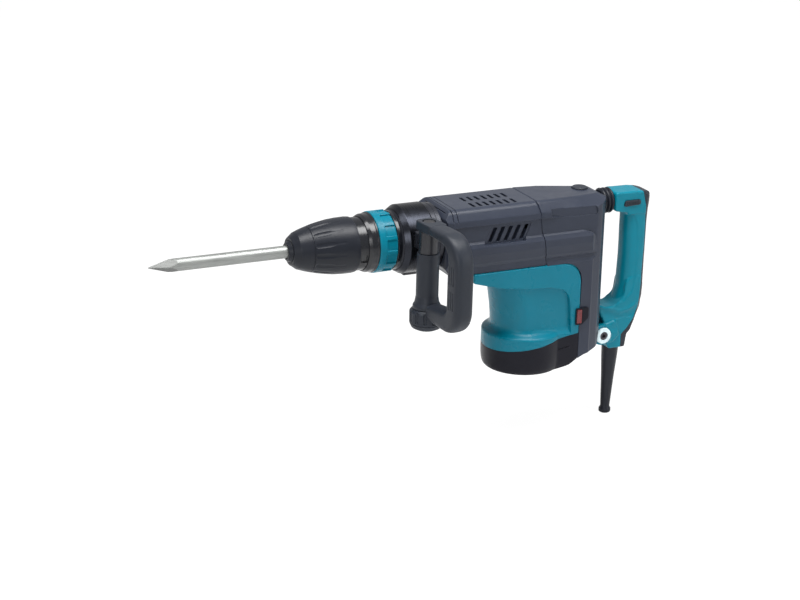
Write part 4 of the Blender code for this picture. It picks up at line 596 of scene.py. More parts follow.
def makeFloor():
    reach, level = 6.0, studio["floor"]
    mesh = bpy.data.meshes.new("floor")
    corners = [(x * reach, y * reach, level) for x, y in ((-1, -1), (1, -1), (1, 1), (-1, 1))]
    mesh.from_pydata(corners, [], [(0, 1, 2, 3)])
    floor = bpy.data.objects.new("floor", mesh)
    scene.collection.objects.link(floor)
    material, tree, shader = newMaterial("paleFloor")
    shader.inputs["Base Color"].default_value = (0.9, 0.9, 0.9, 1)
    shader.inputs["Roughness"].default_value = 1.0
    shader.inputs["Specular IOR Level"].default_value = 0.0
    ray = put(tree, "ShaderNodeLightPath").outputs
    seen = math(tree, "MULTIPLY_ADD", ray["Is Glossy Ray"], studio["mirrored"] * 0.6, ray["Is Camera Ray"])
    seen = math(tree, "ADD", seen, ray["Is Transmission Ray"], clamp=True)
    glow = put(tree, "ShaderNodeEmission", {"Strength": 1.12})
    share = math(tree, "MULTIPLY", seen, 0.86)
    mixed = put(tree, "ShaderNodeMixShader", {0: share, 1: shader.outputs[0], 2: glow.outputs[0]})
    tree.links.new(mixed.outputs[0], tree.nodes["Material Output"].inputs[0])
    mesh.materials.append(material)


makeCamera()
makeStudio()
makeFloor()
print("studio ready")

# chisel and nose
chisel = {"radius": 9.0, "tip": -207.0, "end": 100.0, "pointLength": 42.0, "tipHalf": 0.8}


def makeChiselSteel():
    # the four ground planes of the point are duller than the drawn bar
    material = metal("chiselSteel", (0.27, 0.28, 0.27), 0.42, stretch=(25.0, 380.0, 380.0), bump=0.00001,
                     metallic=0.6)
    tree = material.node_tree
    shader = tree.nodes["Principled BSDF"]
    normal = put(tree, "ShaderNodeTexCoord").outputs["Normal"]
    facing = put(tree, "ShaderNodeSeparateXYZ", {0: normal}).outputs["X"]
    ground = put(tree, "ShaderNodeMapRange", {"Value": facing, "From Min": -0.05, "From Max": -0.12})
    colour = shader.inputs["Base Color"].links[0].from_socket
    dulled = put(tree, "ShaderNodeMix", {0: ground.outputs[0], 6: colour, 7: (0.13, 0.134, 0.13, 1.0)},
                 data_type="RGBA")
    tree.links.new(dulled.outputs[2], shader.inputs["Base Color"])
    return material


def makeChisel(size):
    r, tip, end = size["radius"], size["tip"], size["end"]
    bar = turned("bullPointChisel", [(tip, 0), (tip, r), (end, r, 1.0), (end, 0)], steps=72)
    length = end - tip + 20
    wide = r * length / size["pointLength"] * sqrt(2)
    square = [[(x, half * cos(k * pi / 2), half * sin(k * pi / 2)) for k in range(4)]
              for x, half in ((tip, size["tipHalf"]), (tip + length, wide))]
    keepInside(bar, skinned("point", square))
    for side in (-1, 1):
        low, high = sorted((side * 6.5, side * 12.0))
        carve(bar, block("pocket", (41.7, -4.3, low), (70.3, 4.3, high)))
    finishPiece(bar, makeChiselSteel(), "chisel steel", "chisel", sharp=12)


cover = {"flutes": 14, "fluteTurn": -2.0, "fluteRadius": 9.0, "fluteDepth": 1.1, "fluteFront": 26.0,
         "fluteRear": 73.0, "line": 24.4}
coverOuter = [(-2.0, 19.8), (6.5, 26.2), (16.0, 29.6), (24.0, 31.9), (34.0, 34.6), (46.0, 37.0),
              (58.0, 38.9), (70.0, 39.8), (84.0, 40.1), (90.0, 39.4)]


def makeCover(size):
    line = size["line"]
    mid = between(coverOuter, line)[0]
    outer = [(-2.0, 16.3), (-2.0, 19.8, 0.9), (6.5, 26.2, 0.6), (16.0, 29.6), (line - 0.5, mid - 0.1),
             (line - 0.3, mid - 0.7), (line + 0.3, mid - 0.7), (line + 0.5, mid + 0.1)]
    outer += coverOuter[4:-1] + [(90.0, 39.4, 1.0)]
    inner = [(90.0, 38.3), (60.1, 38.3), (60.1, 34.5), (57.7, 31.5), (57.7, 15.1), (46.0, 15.1),
             (35.5, 18.1), (32.5, 18.1), (32.5, 16.3)]
    shell = turned("releaseCover", outer + inner, steps=144)
    rings = []
    front, rear, radius = size["fluteFront"], size["fluteRear"], size["fluteRadius"]
    tilt = radians(size["fluteTurn"])
    # shallower where the wall is thin over the sleeve
    depths = [(front - 0.4, -0.3), (front + 1.0, 0.7), (front + 3.0, 1.0), (46, 1.0), (57, 0.28),
              (68, 0.45), (rear, -0.3)]
    for i in range(34):
        x = front - 0.4 + (rear - front + 0.4) * i / 33
        depth = size["fluteDepth"] * between(depths, x)[0]
        centre = between(coverOuter, x)[0] + radius - depth
        ring = [(radius * sin(radians(t)), centre - radius * cos(radians(t))) for t in range(-36, 37, 6)]
        ring += [(radius, centre + 4), (-radius, centre + 4)]
        rings.append([(x, -(b * cos(tilt)) + a * sin(tilt), b * sin(tilt) + a * cos(tilt)) for a, b in ring])
    carve(shell, repeated(skinned("flute", rings), size["flutes"], turn=(2 * pi / size["flutes"], 0, 0)))
    finishPiece(shell, finishes["rubber"], "rubber", "release_cover", sharp=24)


def makeReleaseSpring():
    spring = coil("releaseSpring", 60.4, 87.7, 24.5, 1.4, 5)
    finishPiece(spring, finishes["steel"], "steel", "release_spring", sharp=60,
                shared=("cover", "holder", inFrame(60.4, 0, 0), inFrame(87.7, 0, 0)))


def makeNose():
    lip = turned("dustLip", [(-7, 10), (-7, 12.5, 1.0), (-2, 15.8, 0.8), (1.7, 15.8), (1.7, 9.3)])
    finishPiece(lip, finishes["rubber"], "rubber", "dust_cap")
    neck = turned("holderNeck", [(69.2, 34.5), (69.2, 38, 0.6), (145.3, 38), (145.3, 20.3), (139, 20.3),
                                 (139, 34.5)])
    window = softened(block("window", (91.5, -45, -6.2), (103.5, -35.2, 6.2)), 1.2)
    carve(neck, shifted(window, Matrix.Rotation(radians(19), 4, "X")))
    finishPiece(neck, finishes["gloss black"], "soft black", "holder_sleeve")
    collar = turned("ringCollar", [(103, 38.3), (103, 39.3, 0.5), (107.5, 41.6, 2.0), (115.2, 41.8, 0.5),
                                   (116.0, 43.0, 0.7), (118, 43.0, 0.6), (118, 38.3)])
    finishPiece(collar, finishes["gloss black"], "soft black", "change_ring_collar")


changeRing = {"ribs": 13, "phase": 6.0, "ribWidth": 5.2, "radius": 44.0, "root": 41.9}


def makeChangeRing(size):
    r, root = size["radius"], size["root"]
    ring = turned("changeRing", [
        (118.3, 38.3), (118.3, r, 1.4), (128.8, r, 0.9), (129.4, root, 0.4), (144.0, root),
        (144.2, root + 0.5), (145, root + 0.3), (145, 38.3)], steps=144)
    half = size["ribWidth"] / 2
    outline = roundOutline([(-r, -half, 0.5), (-r, half, 0.5), (-root + 1, half + 0.3),
                            (-root + 1, -half - 0.3)], 3)
    rib = slab("rib", outline, "X", 128.0, 144.4)
    shifted(rib, Matrix.Rotation(radians(size["phase"]), 4, "X"))
    addOn(ring, repeated(rib, size["ribs"], turn=(2 * pi / size["ribs"], 0, 0)))
    finishPiece(ring, finishes["teal plastic"], "teal plastic", "change_ring")
    seal = turned("barrelSeal", [(146, 30.3), (146, 42.6, 0.8), (151.7, 42.6, 0.8), (151.7, 30.3)])
    finishPiece(seal, finishes["gloss black"], "rubber", "barrel_seal")


def makeBarrel():
    barrel = turned("gearBarrel", [
        (146.5, 20.3), (146.5, 30), (152, 30), (152, 40.5, 0.8), (154.4, 43, 0.8), (200.8, 43),
        (200.8, 46.6, 0.5), (201.8, 47.5, 0.5), (207.5, 47.5, 0.4), (207.8, 46.9), (208.4, 46.9),
        (208.7, 47.5, 0.4), (214.7, 47.5, 0.6), (214.7, 26.3), (171.3, 26.3), (171.3, 20.3)], steps=144)
    finishPiece(barrel, finishes["barrel alloy"], "barrel alloy", "barrel")


makeChisel(chisel)
makeCover(cover)
makeReleaseSpring()
makeNose()
makeChangeRing(changeRing)
makeBarrel()
print("nose ready")

# side handle
sideHandle = {"x": 177.0, "y": -73.0, "turn": 84.0, "reach": 84.5, "top": 46.0, "armLow": 32.8,
              "saddle": -81.0, "postRadius": 16.0, "grooveRadius": 1.3, "grooves": 4, "groovePitch": 5.0}
knob = {"radius": 24.5, "height": 31.0, "flutes": 12}
sideAxis = (sideHandle["x"], sideHandle["y"], 0)


def makeSideBase():
    ring = turned("handleClampRing", [
        (154.5, 43.3), (154.5, 44.6, 0.4), (162.5, 49.5, 1.6), (199.4, 49.5, 0.9), (200.5, 48.4),
        (200.5, 43.3)], steps=144)
    x, y = sideHandle["x"], sideHandle["y"]
    ear = softened(block("ear", (x - 10, y, 1.5), (x + 10, -45, 24.5)), 2.0)
    addOn(ring, ear)
    addOn(ring, turned("boss", [(0.5, 0), (0.5, 14, 0.8), (32.5, 14, 0.8), (32.5, 0)], "Z", sideAxis, 72))
    lug = softened(block("lug", (168, -12, -52.5), (190, 2, -46)), 2.0)
    addOn(ring, lug)
    carve(ring, rod("boltHole", 5.3, "Z", -50, 80, sideAxis))
    carve(ring, rod("bore", 43.3, "X", 150, 210, steps=144))
    finishPiece(ring, makeClampFinish(), "cast alloy", "side_handle_base")


def makeClampFinish():
    # brushed on the ring, dark paint on the boss
    material = metal("clampAlloy", (0.026, 0.028, 0.035), 0.30, contrast=0.2, stretch=(900.0, 25.0, 25.0),
                     metallic=0.7)
    tree = material.node_tree
    shader = tree.nodes["Principled BSDF"]
    where = put(tree, "ShaderNodeTexCoord").outputs["Object"]
    parts = put(tree, "ShaderNodeSeparateXYZ", {0: where}).outputs
    boss = put(tree, "ShaderNodeMapRange", {"Value": parts["Y"], "From Min": -0.049, "From Max": -0.053})
    under = put(tree, "ShaderNodeMapRange", {"Value": parts["Z"], "From Min": 0.172, "From Max": 0.168})
    dark = math(tree, "MAXIMUM", boss.outputs[0], under.outputs[0])
    colour = shader.inputs["Base Color"].links[0].from_socket
    painted = put(tree, "ShaderNodeMix", {0: dark, 6: colour, 7: (0.012, 0.013, 0.018, 1.0)},
                  data_type="RGBA")
    tree.links.new(painted.outputs[2], shader.inputs["Base Color"])
    tree.links.new(math(tree, "SUBTRACT", 1.0, dark), shader.inputs["Metallic"])
    return material


def makeSideHandle(size):
    top, low, saddle, reach = size["top"], size["armLow"], size["saddle"], size["reach"]
    outline = roundOutline([(-15, -14.5, 6), (24, -14.5, 2), (24, 14.5, 2), (-15, 14.5, 6)])
    handle = softened(slab("sideHandle", outline, "Z", low, top), 1.6, 3)
    arm = [(18, 39.2), (reach, 36.5, 30), (reach, saddle + 1, 21), (20, saddle - 0.5)]
    sizes = [(0.0, 6.2, 13.6), (0.05, 7.4, 15.0), (0.16, 8.6, 15.0), (0.30, 13.0, 15.0), (0.42, 16.6, 14.8),
             (0.72, 16.6, 14.8), (0.84, 14.4, 14.6), (1.0, 11.6, 13.6)]
    addOn(handle, bentBar("arm", arm, sizes, 3.4))
    post = [(-gap + 0.5, 0), (-gap + 0.5, size["postRadius"], 0.9), (-63, size["postRadius"], 6),
            (-72, 17.6, 4), (-76.5, 20.0, 2), (saddle, 20.2, 1.0), (saddle, 0)]
    addOn(handle, turned("post", post, "Z"))
    carve(handle, turned("boltWay", [(-200, 0), (-200, 5.3), (top - 6, 5.3), (top - 6, 9.6), (top + 20, 9.6),
                                     (top + 20, 0)], "Z", steps=48))
    for side in (-1, 1):
        for start in (6.0, -30.0):
            groove = rod("groove", size["grooveRadius"], "Z", -27, 0, (reach - 10, side * 15.0, start), 12)
            carve(handle, repeated(groove, size["grooves"], step=(size["groovePitch"], 0, 0)))
    shifted(handle, Matrix.Translation(sideAxis) @ Matrix.Rotation(-radians(size["turn"]), 4, "Z"))
    finishPiece(handle, finishes["soft black"], "soft black", "side_handle")
    bolt = rod("clampBolt", 5.0, "Z", -106.3, top - 4, sideAxis, 32)
    head = [(sideAxis[0] + 9 * cos(k * pi / 3), sideAxis[1] + 9 * sin(k * pi / 3)) for k in range(6)]
    addOn(bolt, softened(slab("head", head, "Z", top - 5.7, top - 0.5), 0.5, 2, 20))
    finishPiece(bolt, finishes["dark steel"], "dark steel", "clamp_bolt")


def makeKnob(size):
    top = sideHandle["saddle"] - gap
    r, low = size["radius"], top - size["height"]
    body = turned("clampKnob", [
        (low, 0), (low, r - 10, 3), (low + 3.5, r - 3.2, 3), (low + 9.2, r - 0.7, 1), (low + 9.6, r - 1.4),
        (low + 10.2, r - 1.4), (low + 10.6, r - 0.2, 0.5), (top - 4, r, 2), (top, r - 3.4, 1), (top, 0)],
        "Z", sideAxis, 120)
    flute = turned("flute", [(low + 12.5, 0), (low + 12.5, 2.7, 2), (top - 2, 2.7, 2), (top - 2, 0)], "Z",
                   (r + 0.6, 0, 0), 20)
    carve(body, repeated(flute, size["flutes"], turn=(0, 0, 2 * pi / size["flutes"]), start=sideAxis))
    carve(body, rod("thread", 5.3, "Z", -106.6, 0, sideAxis, 32))
    finishPiece(body, finishes["soft black"], "soft black", "clamp_knob")


makeSideBase()
makeSideHandle(sideHandle)
makeKnob(knob)
print("side handle ready")

# housings
body = {"front": 215.0, "top": 45.5, "railLow": 21.5, "belly": -50.0, "seamTop": 364.0, "seamBottom": 380.0,
        "inner": 45.8, "rear": 489.0, "column": 438.0}
vents = {"first": 268.0, "pitch": 11.0, "count": 7, "width": 4.8, "length": 19.0, "rows": (6.0, -23.0)}
louvres = {"count": 5, "first": 283.0, "pitch": 12.6, "width": 6.4, "low": -5.6, "high": 15.8, "lean": 0.42}


def halfSection():
    # roof, side and rail of the housings, from the middle of the roof down to the belly
    top = body["top"]
    upper = [(0, top), (40.0, top, 13), (50.2, 30.5, 5), (50.8, 21.5, 1.0), (47.8, 20.7, 0.6)]
    lower = [(47.8, -2.6, 0.8), (51.0, -4.8, 2.0), (54.2, -11, 5), (54.2, -21, 5), (51.6, -34.5, 4),
             (49.4, -39.5, 2)]
    return upper + lower + [(49.2, body["belly"])]


def wholeSection(half):
    right = roundOutline(half, 5, closed=False)
    return right + [(-y, z) for y, z in reversed(right) if y > 0]


def seamX(z):
    share = (body["top"] - z) / (body["top"] - body["belly"])
    return body["seamTop"] + (body["seamBottom"] - body["seamTop"]) * share


# place, whether it follows the seam, and how far it is drawn in
frontEnds = [(180, False, 0.0), (330, False, 0.0), (-2.6, True, 0.0), (-1.3, True, 0.25), (-0.5, True, 0.9),
             (0.5, True, 2.2)]


def seamSkin():
    # the section drawn along X, whose end follows the slanted seam and rounds over into it
    rings = []
    for x, follow, inset in frontEnds:
        ring = []
        for y, z in wholeSection(halfSection()):
            scale = 1 - inset / 50
            along = x + (seamX(max(z, body["belly"])) if follow else 0.0)
            ring.append((along, y * scale, z * (scale if z > 30 else 1.0)))
        rings.append(ring)
    return skinned("section", rings)


def leaning(left, right, low, high, corner):
    # an upright shape that leans back as it rises
    shift = louvres["lean"] * (high - low)
    return roundOutline([(left, low, corner), (right, low, corner), (right + shift, high, corner),
                         (left + shift, high, corner)], 3)


def makeFrontHousing():
    front, inner, belly, edge = body["front"], body["inner"], body["belly"], body["railLow"] - 0.9
    low = belly + gap
    outline = roundOutline([(front, edge), (front, -36, 4), (front + 9, low, 6), (seamX(low) - gap, low),
                            (seamX(edge) - gap, edge)])
    shell = slab("frontHousing", outline, "Y", -70, 70)
    keepInside(shell, seamSkin())
    plan = roundOutline([(front, -54.3, 9), (430, -54.3), (430, 54.3), (front, 54.3, 9)])
    keepInside(shell, slab("plan", plan, "Z", -80, 80))
    carve(shell, block("bay", (front + 6, -inner, belly + 4.2), (450, inner, 80)))
    carve(shell, block("gearWay", (268, -inner, -90), (450, inner, 0)))
    carve(shell, rod("cylinderHole", 26.3, "X", 190, 250, steps=64))
    low, high, x, w, pitch = (louvres[key] for key in ("low", "high", "first", "width", "pitch"))
    recess = leaning(x - 7.0, x + pitch * 4 + w + 2.6, low - 2.2, high + 2.0, 1.5)
    backing = [(x - 4, low - 2), (x + 57, low - 2), (x + 66, high + 2), (x + 5, high + 2)]
    for side in (-1, 1):
        near, far = sorted((side * 46.9, side * 60.0))
        carve(shell, slab("recess", recess, "Y", near, far))
        near, far = sorted((side * 39.0, side * 46.5))
        addOn(shell, slab("backing", backing, "Y", near, far))
        near, far = sorted((side * 40.2, side * 60.0))
        slot = slab("slot", leaning(x, x + w, low, high, 1), "Y", near, far)
        carve(shell, repeated(slot, louvres["count"], step=(pitch, 0, 0)))
    finishPiece(shell, finishes["housing black"], "housing black", "front_housing")


def makeTopCover():
    front, top, edge, inner = body["front"] + 0.5, body["top"], body["railLow"] - 0.6, body["inner"]
    outline = roundOutline([(front, edge), (front, 34, 5), (front + 10, top + 0.6, 5),
                            (seamX(top) - gap, top + 2), (seamX(edge) - gap, edge)])
    lid = slab("topCover", outline, "Y", -70, 70)
    keepInside(lid, seamSkin())
    plan = roundOutline([(front, -51, 6), (430, -51), (430, 51), (front, 51, 9)])
    keepInside(lid, slab("plan", plan, "Z", -80, 80))
    roof = top - 4.2
    hollow = roundOutline([(-inner, 0), (-inner, 29, 4), (-36, roof, 8), (36, roof, 8), (inner, 29, 4),
                           (inner, 0)])
    carve(lid, slab("hollow", hollow, "X", front + 5.5, 450))
    carve(lid, rod("cylinderHole", 26.3, "X", 190, 250, steps=64))
    # two fine grooves run over the lid behind its front
    over = wholeSection(halfSection()[:3] + [(50.2, 24)])
    under = wholeSection([(0, top - 1.1), (38.9, top - 1.1, 12.2), (49.1, 29.5, 4.5), (49.1, 10)])
    for line in (front + 11.5, front + 18.5):
        strip = slab("strip", over, "X", line, line + 1.2)
        carve(strip, slab("core", under, "X", front, front + 40))
        carve(lid, strip)
    half, long = vents["width"] / 2, vents["length"] / 2
    outline = roundOutline([(-half, -long, 1.6), (half, -long, 1.6), (half, long, 1.6),
                            (-half, long, 1.6)], 3)
    for row in vents["rows"]:
        vent = slab("vent", outline, "Z", roof - 10, top + 10)
        start = (vents["first"], row, 0)
        carve(lid, repeated(vent, vents["count"], step=(vents["pitch"], 0, 0), start=start))
    finishPiece(lid, finishes["housing black"], "housing black", "top_cover")


def rearSide(inset):
    rear, column, belly = body["rear"] - inset, body["column"] + gap + inset, body["belly"] - gap + inset
    lift = inset * 0.8
    top = 60
    points = [(seamX(top), top), (470 - inset, top), (474 - inset, 41.5 - inset, 6), (rear, 36 - inset, 5),
              (rear, -118, 8), (495 - inset, -138, 4), (494.5 - inset, -159.5, 4),
              (479.5 - inset, -173.5 + lift, 3), (477.5 - inset, -187.5 + lift, 2), (448, -196 + lift),
              (column, -200.5 + lift)]
    if inset:
        return roundOutline(points + [(column, belly), (360, belly)])
    return roundOutline(points + [(column, belly, 32), (seamX(belly), belly)], 16)


def rearPlan(inset):
    half = [(340, 62 - inset), (444, 62 - inset), (456, 50.8 - inset, 10), (471 - inset, 45.0 - inset, 12),
            (482 - inset, 34 - inset, 12), (489.5 - inset, 14, 6)]
    return roundOutline(half + [(p[0], -p[1]) + tuple(p[2:]) for p in reversed(half)], 8)


dial = {"x": 462.0, "y": 10.0, "radius": 12.0, "base": 39.4, "top": 44.6, "ridges": 30}


# place (the first four are from the seam), height, half the flat width, and how far it is drawn in
rearRoof = [(-0.6, 45.5, 40, 2.2), (0.5, 45.5, 40, 0.9), (1.3, 45.5, 40, 0.25), (2.6, 45.5, 40, 0.0),
            (403, 44.7, 36.5, 0.0), (425, 43.6, 31, 0.0), (450, 42.4, 25, 0.0), (475, 41.3, 19, 0.0),
            (505, 40.0, 14, 0.0)]


def rearSkin(name, inset):
    # the roof sinks and narrows towards the handle
    rings = []
    for x, top, flat, less in rearRoof:
        if inset:
            wide = body["inner"]
            half = [(0, top - inset), (flat - inset, top - inset, 8), (wide, 24, 6), (wide, -215)]
        else:
            half = [(0, top), (flat, top, 10), (50.2, 30.5, 6), (50.8, 21.5, 1.0), (48.0, 20.7, 0.6),
                    (48.0, -44, 1), (51.5, -50.2, 1), (51.5, -215)]
        scale = 1 - (0.0 if inset else less / 50)
        ring = [(y * scale, z * (scale if z > 30 else 1.0)) for y, z in wholeSection(half)]
        rings.append([(x + (seamX(max(z, body["belly"])) if x < 100 else 0.0), y, z) for y, z in ring])
    skin = skinned(name, rings)
    keepInside(skin, slab("side", rearSide(inset), "Y", -70, 70))
    return skin


def makeRearHousing():
    shell = rearSkin("rearHousing", 0.0)
    recess = roundOutline([(382.5, 38, 2), (384.5, 21.8, 1), (430, 19, 1), (463, 19, 4), (458, 34, 6),
                           (440, 38, 4)])
    for side in (-1, 1):
        near, far = sorted((side * 47.2, side * 60.0))
        carve(shell, slab("recess", recess, "Y", near, far))
    railOutline = roundOutline([(seamX(-3), -2.8), (440, -2.8, 14), (458, -10, 14), (464, -28, 12),
                                (464, -42), (seamX(-42), -42)], 8)
    rail = slab("rail", railOutline, "Y", -70, 70)
    half = halfSection()[4:-1] + [(40, -42)]
    keepInside(rail, slab("section", wholeSection([(40, 0)] + half), "X", 340, 480))
    addOn(shell, rail)
    keepInside(shell, slab("plan", rearPlan(0.0), "Z", -250, 100))
    hollow = rearSkin("hollow", 4.2)
    keepInside(hollow, slab("plan", rearPlan(4.2), "Z", -250, 100))
    carve(shell, hollow)
    lug = [(476, -190)] + arcPoints(496, -182, 12, -70, 80, 14) + [(492, -156), (476, -160)]
    addOn(shell, slab("lug", lug, "Y", -10, 10))
    carve(shell, rod("pivotHole", 6.3, "Y", -50, 50, (496, 0, -182), 32))
    x, y, r = dial["x"], dial["y"], dial["radius"]
    base = dial["base"]
    hump = [(34, 0), (34, r + 7), (base, r + 6.5, 2), (base + 2.6, r + 2.4, 1.5), (base + 2.6, 0)]
    addOn(shell, turned("dialHump", hump, "Z", (x, y, 0), 64))
    carve(shell, rod("dialWell", r + gap, "Z", base, 70, (x, y, 0), 64))
    finishPiece(shell, finishes["housing black"], "housing black", "rear_housing")


def makeDial(size):
    r, low, top = size["radius"], size["base"] + gap, size["top"]
    x, y = size["x"], size["y"]
    outline = [(low, 0), (low, r - 0.4), (top - 1, r - 0.4, 0.8), (top, r - 1.8, 0.5), (top - 0.4, r - 3),
               (top - 0.4, 0)]
    wheel = turned("speedDial", outline, "Z", (x, y, 0), 90)
    ridge = rod("ridge", 0.5, "Z", low + 1, top - 1.2, (r - 0.5, 0, 0), 8)
    addOn(wheel, repeated(ridge, size["ridges"], turn=(0, 0, 2 * pi / size["ridges"]), start=(x, y, 0)))
    mark = block("mark", (x - 0.5, y - r + 3.4, top - 1), (x + 0.5, y - 4, top - 0.1))
    addOn(wheel, softened(mark, 0.2))
    finishPiece(wheel, finishes["soft black"], "housing black", "speed_dial")


makeFrontHousing()
makeTopCover()
makeRearHousing()
makeDial(dial)
print("housings ready")

# motor housing and cap
motor = {"x": 371.0, "back": 66.7, "capFront": -182.0, "capRear": -160.0, "baseRadius": 60.8,
         "baseHalf": 51.5, "steps": 144}
# height, drum radius, drum half width, how far it has flared out to the base
drumRings = [(-51, 57.5, 49.0, 0.0), (-83, 56.5, 48.5, 0.0), (-100, 54.0, 47.8, 0.0),
             (-120, 51.0, 47.0, 0.0), (-138, 49.3, 46.6, 0.0), (-148, 48.8, 46.6, 0.0),
             (-152, 49.0, 46.8, 0.08), (-154.5, 49.5, 47.2, 0.22), (-156.5, 50.0, 47.6, 0.45),
             (-158.2, 51.0, 48.0, 0.74), (-160, 52.0, 49.0, 0.93), (-162, 53.0, 50.0, 1.0),
             (-205, 53.0, 50.0, 1.0)]


def planRing(z, radius, half, flare, inset=0.0):
    ring = []
    base, wide, back = motor["baseRadius"] - inset, motor["baseHalf"] - inset, motor["back"] - inset
    for k in range(motor["steps"]):
        turn = 2 * pi * k / motor["steps"]
        c, s = cos(turn), abs(sin(turn))
        side = half / s if s > 0.01 else 1000.0
        drum = min(radius, side) if c < 0 else min(side, back / max(c, 0.001))
        outer = base
        if c > 0:
            outer = max(base, min(wide / max(s, 0.001), back / c))
            outer = min(outer, back / c)
        reach = drum + (outer - drum) * flare
        ring.append((motor["x"] + reach * c, reach * sin(turn), z))
    return ring


def capLine(x):
    front, rear = motor["x"] - 62.0, motor["x"] + 67.0
    return motor["capFront"] + (motor["capRear"] - motor["capFront"]) * (x - front) / (rear - front)


def makeMotorHousing():
    shell = skinned("motorHousing", [planRing(*ring) for ring in drumRings])
    rear, top = body["column"] - gap, body["belly"] - gap
    wing = roundOutline([(262, top), (rear, top, 32), (rear, -176), (425, -176), (423.5, -146.5),
                         (421.5, -122, 20), (419, -103, 14), (410, -91, 14), (388, -85.5, 30),
                         (353, -83, 40), (308, -77, 20), (262, -64)], 8)
    skirt = softened(slab("skirt", wing, "Y", -52.2, 52.2), 2.2, 4)
    addOn(shell, skirt)
    below = [(270, capLine(270)), (460, capLine(460)), (460, -400), (270, -400)]
    carve(shell, slab("below", below, "Y", -100, 100))
    bore = [(-250, 0), (-250, 57.4), (-166, 57.4), (-166, 43.1), (-80.3, 43.1), (-80.3, 0)]
    carve(shell, turned("bore", bore, "Z", (motor["x"], 0, 0)))
    keep = body["inner"]
    carve(shell, block("gearBay", (303.5, -keep, -76.3), (411, keep, 0)))
    carve(shell, block("frontBay", (268, -keep, -60), (305.5, keep, 0)))
    carve(shell, rod("shaftWay", 39.1, "Z", -86.3, -66.3, (motor["x"], 0, 0), 64))
    finishPiece(shell, finishes["teal plastic"], "teal plastic", "motor_housing", sharp=40)


def makeMotorCap():
    axis = (motor["x"], 0, 0)
    underside = [(-216, 7.5), (-215.5, 5.6), (-214.0, 3.8), (-211.5, 2.2), (-207, 1.0), (-199, 0.2),
                 (-188, 0.0), (-140, 0.0)]
    cap = skinned("motorCap", [planRing(z, 0.0, 1.0, 1.0, inset) for z, inset in underside])
    outline = roundOutline([(280, capLine(280) - gap), (280, -230), (398, -230), (400, -216, 10),
                            (424, -210, 10), (438, -200.5), (470, -182), (470, capLine(470) - gap)])
    keepInside(cap, slab("side", outline, "Y", -100, 100))
    bowl = [(-211.8, 0), (-211.8, 49), (-201.8, 55), (-130, 56), (-130, 0)]
    carve(cap, turned("bowl", bowl, "Z", axis))
    boss = [(-212.5, 0), (-212.5, 15), (-195, 15, 0.6), (-195, 0)]
    addOn(cap, turned("bearingBoss", boss, "Z", axis, 48))
    carve(cap, rod("bearingSeat", 11.3, "Z", -204.3, -100, axis, 48))
    slot = roundOutline([(404, -183.6, 0.7), (422, -180.4, 0.7), (422, -178.8, 0.7), (404, -182.0, 0.7)], 3)
    for side in (-1, 1):
        near, far = sorted((side * 50.2, side * 70.0))
        carve(cap, slab("slot", slot, "Y", near, far))
    finishPiece(cap, finishes["cap black"], "housing black", "motor_cap")


def makeLampPieces():
    outline = roundOutline([(430, -121.5, 2), (451.3, -121.5, 2), (451.3, -138, 3), (441, -147.3, 3),
                            (430, -147.3, 2)])
    bezel = softened(slab("lampBezel", outline, "Y", -54.6, -52.5), 0.5, 2)
    window = roundOutline([(431.6, -145.4, 1), (440.6, -145.4, 1), (440.6, -123.4, 1),
                           (431.6, -123.4, 1)], 3)
    carve(bezel, slab("window", window, "Y", -60, -53.2))
    finishPiece(bezel, finishes["cap black"], "housing black", "lamp_bezel")
    lens = roundOutline([(432.1, -144.9, 0.8), (440.0, -144.9, 0.8), (440.0, -123.9, 0.8),
                         (432.1, -123.9, 0.8)], 3)
    glass = softened(slab("lampLens", lens, "Y", -55.1, -53.4), 0.7, 3)
    carve(glass, softened(block("face", (433.4, -56, -143.4), (438.7, -54.6, -125.4)), 0.4, 2))
    finishPiece(glass, finishes["lamp red"], "lamp red", "lamp_lens")


makeMotorHousing()
makeMotorCap()
makeLampPieces()
print("motor ready")

# rear handle
handle = {"pivotX": 496.0, "pivotZ": -182.0, "pivotRadius": 16.0, "half": 19.0, "voxel": 1.0,
          "slotLow": 14.5, "slotHigh": 23.5}
# teal meets the pad along this line (x, z)
padLine = [(555.0, 60.0), (555.0, 34.0), (560.5, 12.0), (562.8, -15.0), (563.2, -45.0), (560.8, -90.0),
           (559.5, -120.0), (557.0, -145.0), (550.0, -162.0), (540.5, -176.0), (530.0, -186.0)]
gripBorder = [(531, 3), (543, 0), (548, -12), (551, -40), (551.3, -72), (549.5, -108), (545.5, -122),
              (531, -136), (505, -131)]
swooshRidge = [(488, -134), (500, -140), (514, -145), (527, -149), (540, -147), (552, -141)]


def nearLine(x, z, line):
    # distance from a line, and which side of it the point is on
    best, side = 1e9, 0.0
    for (ax, az), (bx, bz) in zip(line, line[1:]):
        ux, uz = bx - ax, bz - az
        share = max(0.0, min(1.0, ((x - ax) * ux + (z - az) * uz) / (ux * ux + uz * uz)))
        far = hypot(x - ax - share * ux, z - az - share * uz)
        if far < best:
            best, side = far, ux * (z - az) - uz * (x - ax)
    return best, side


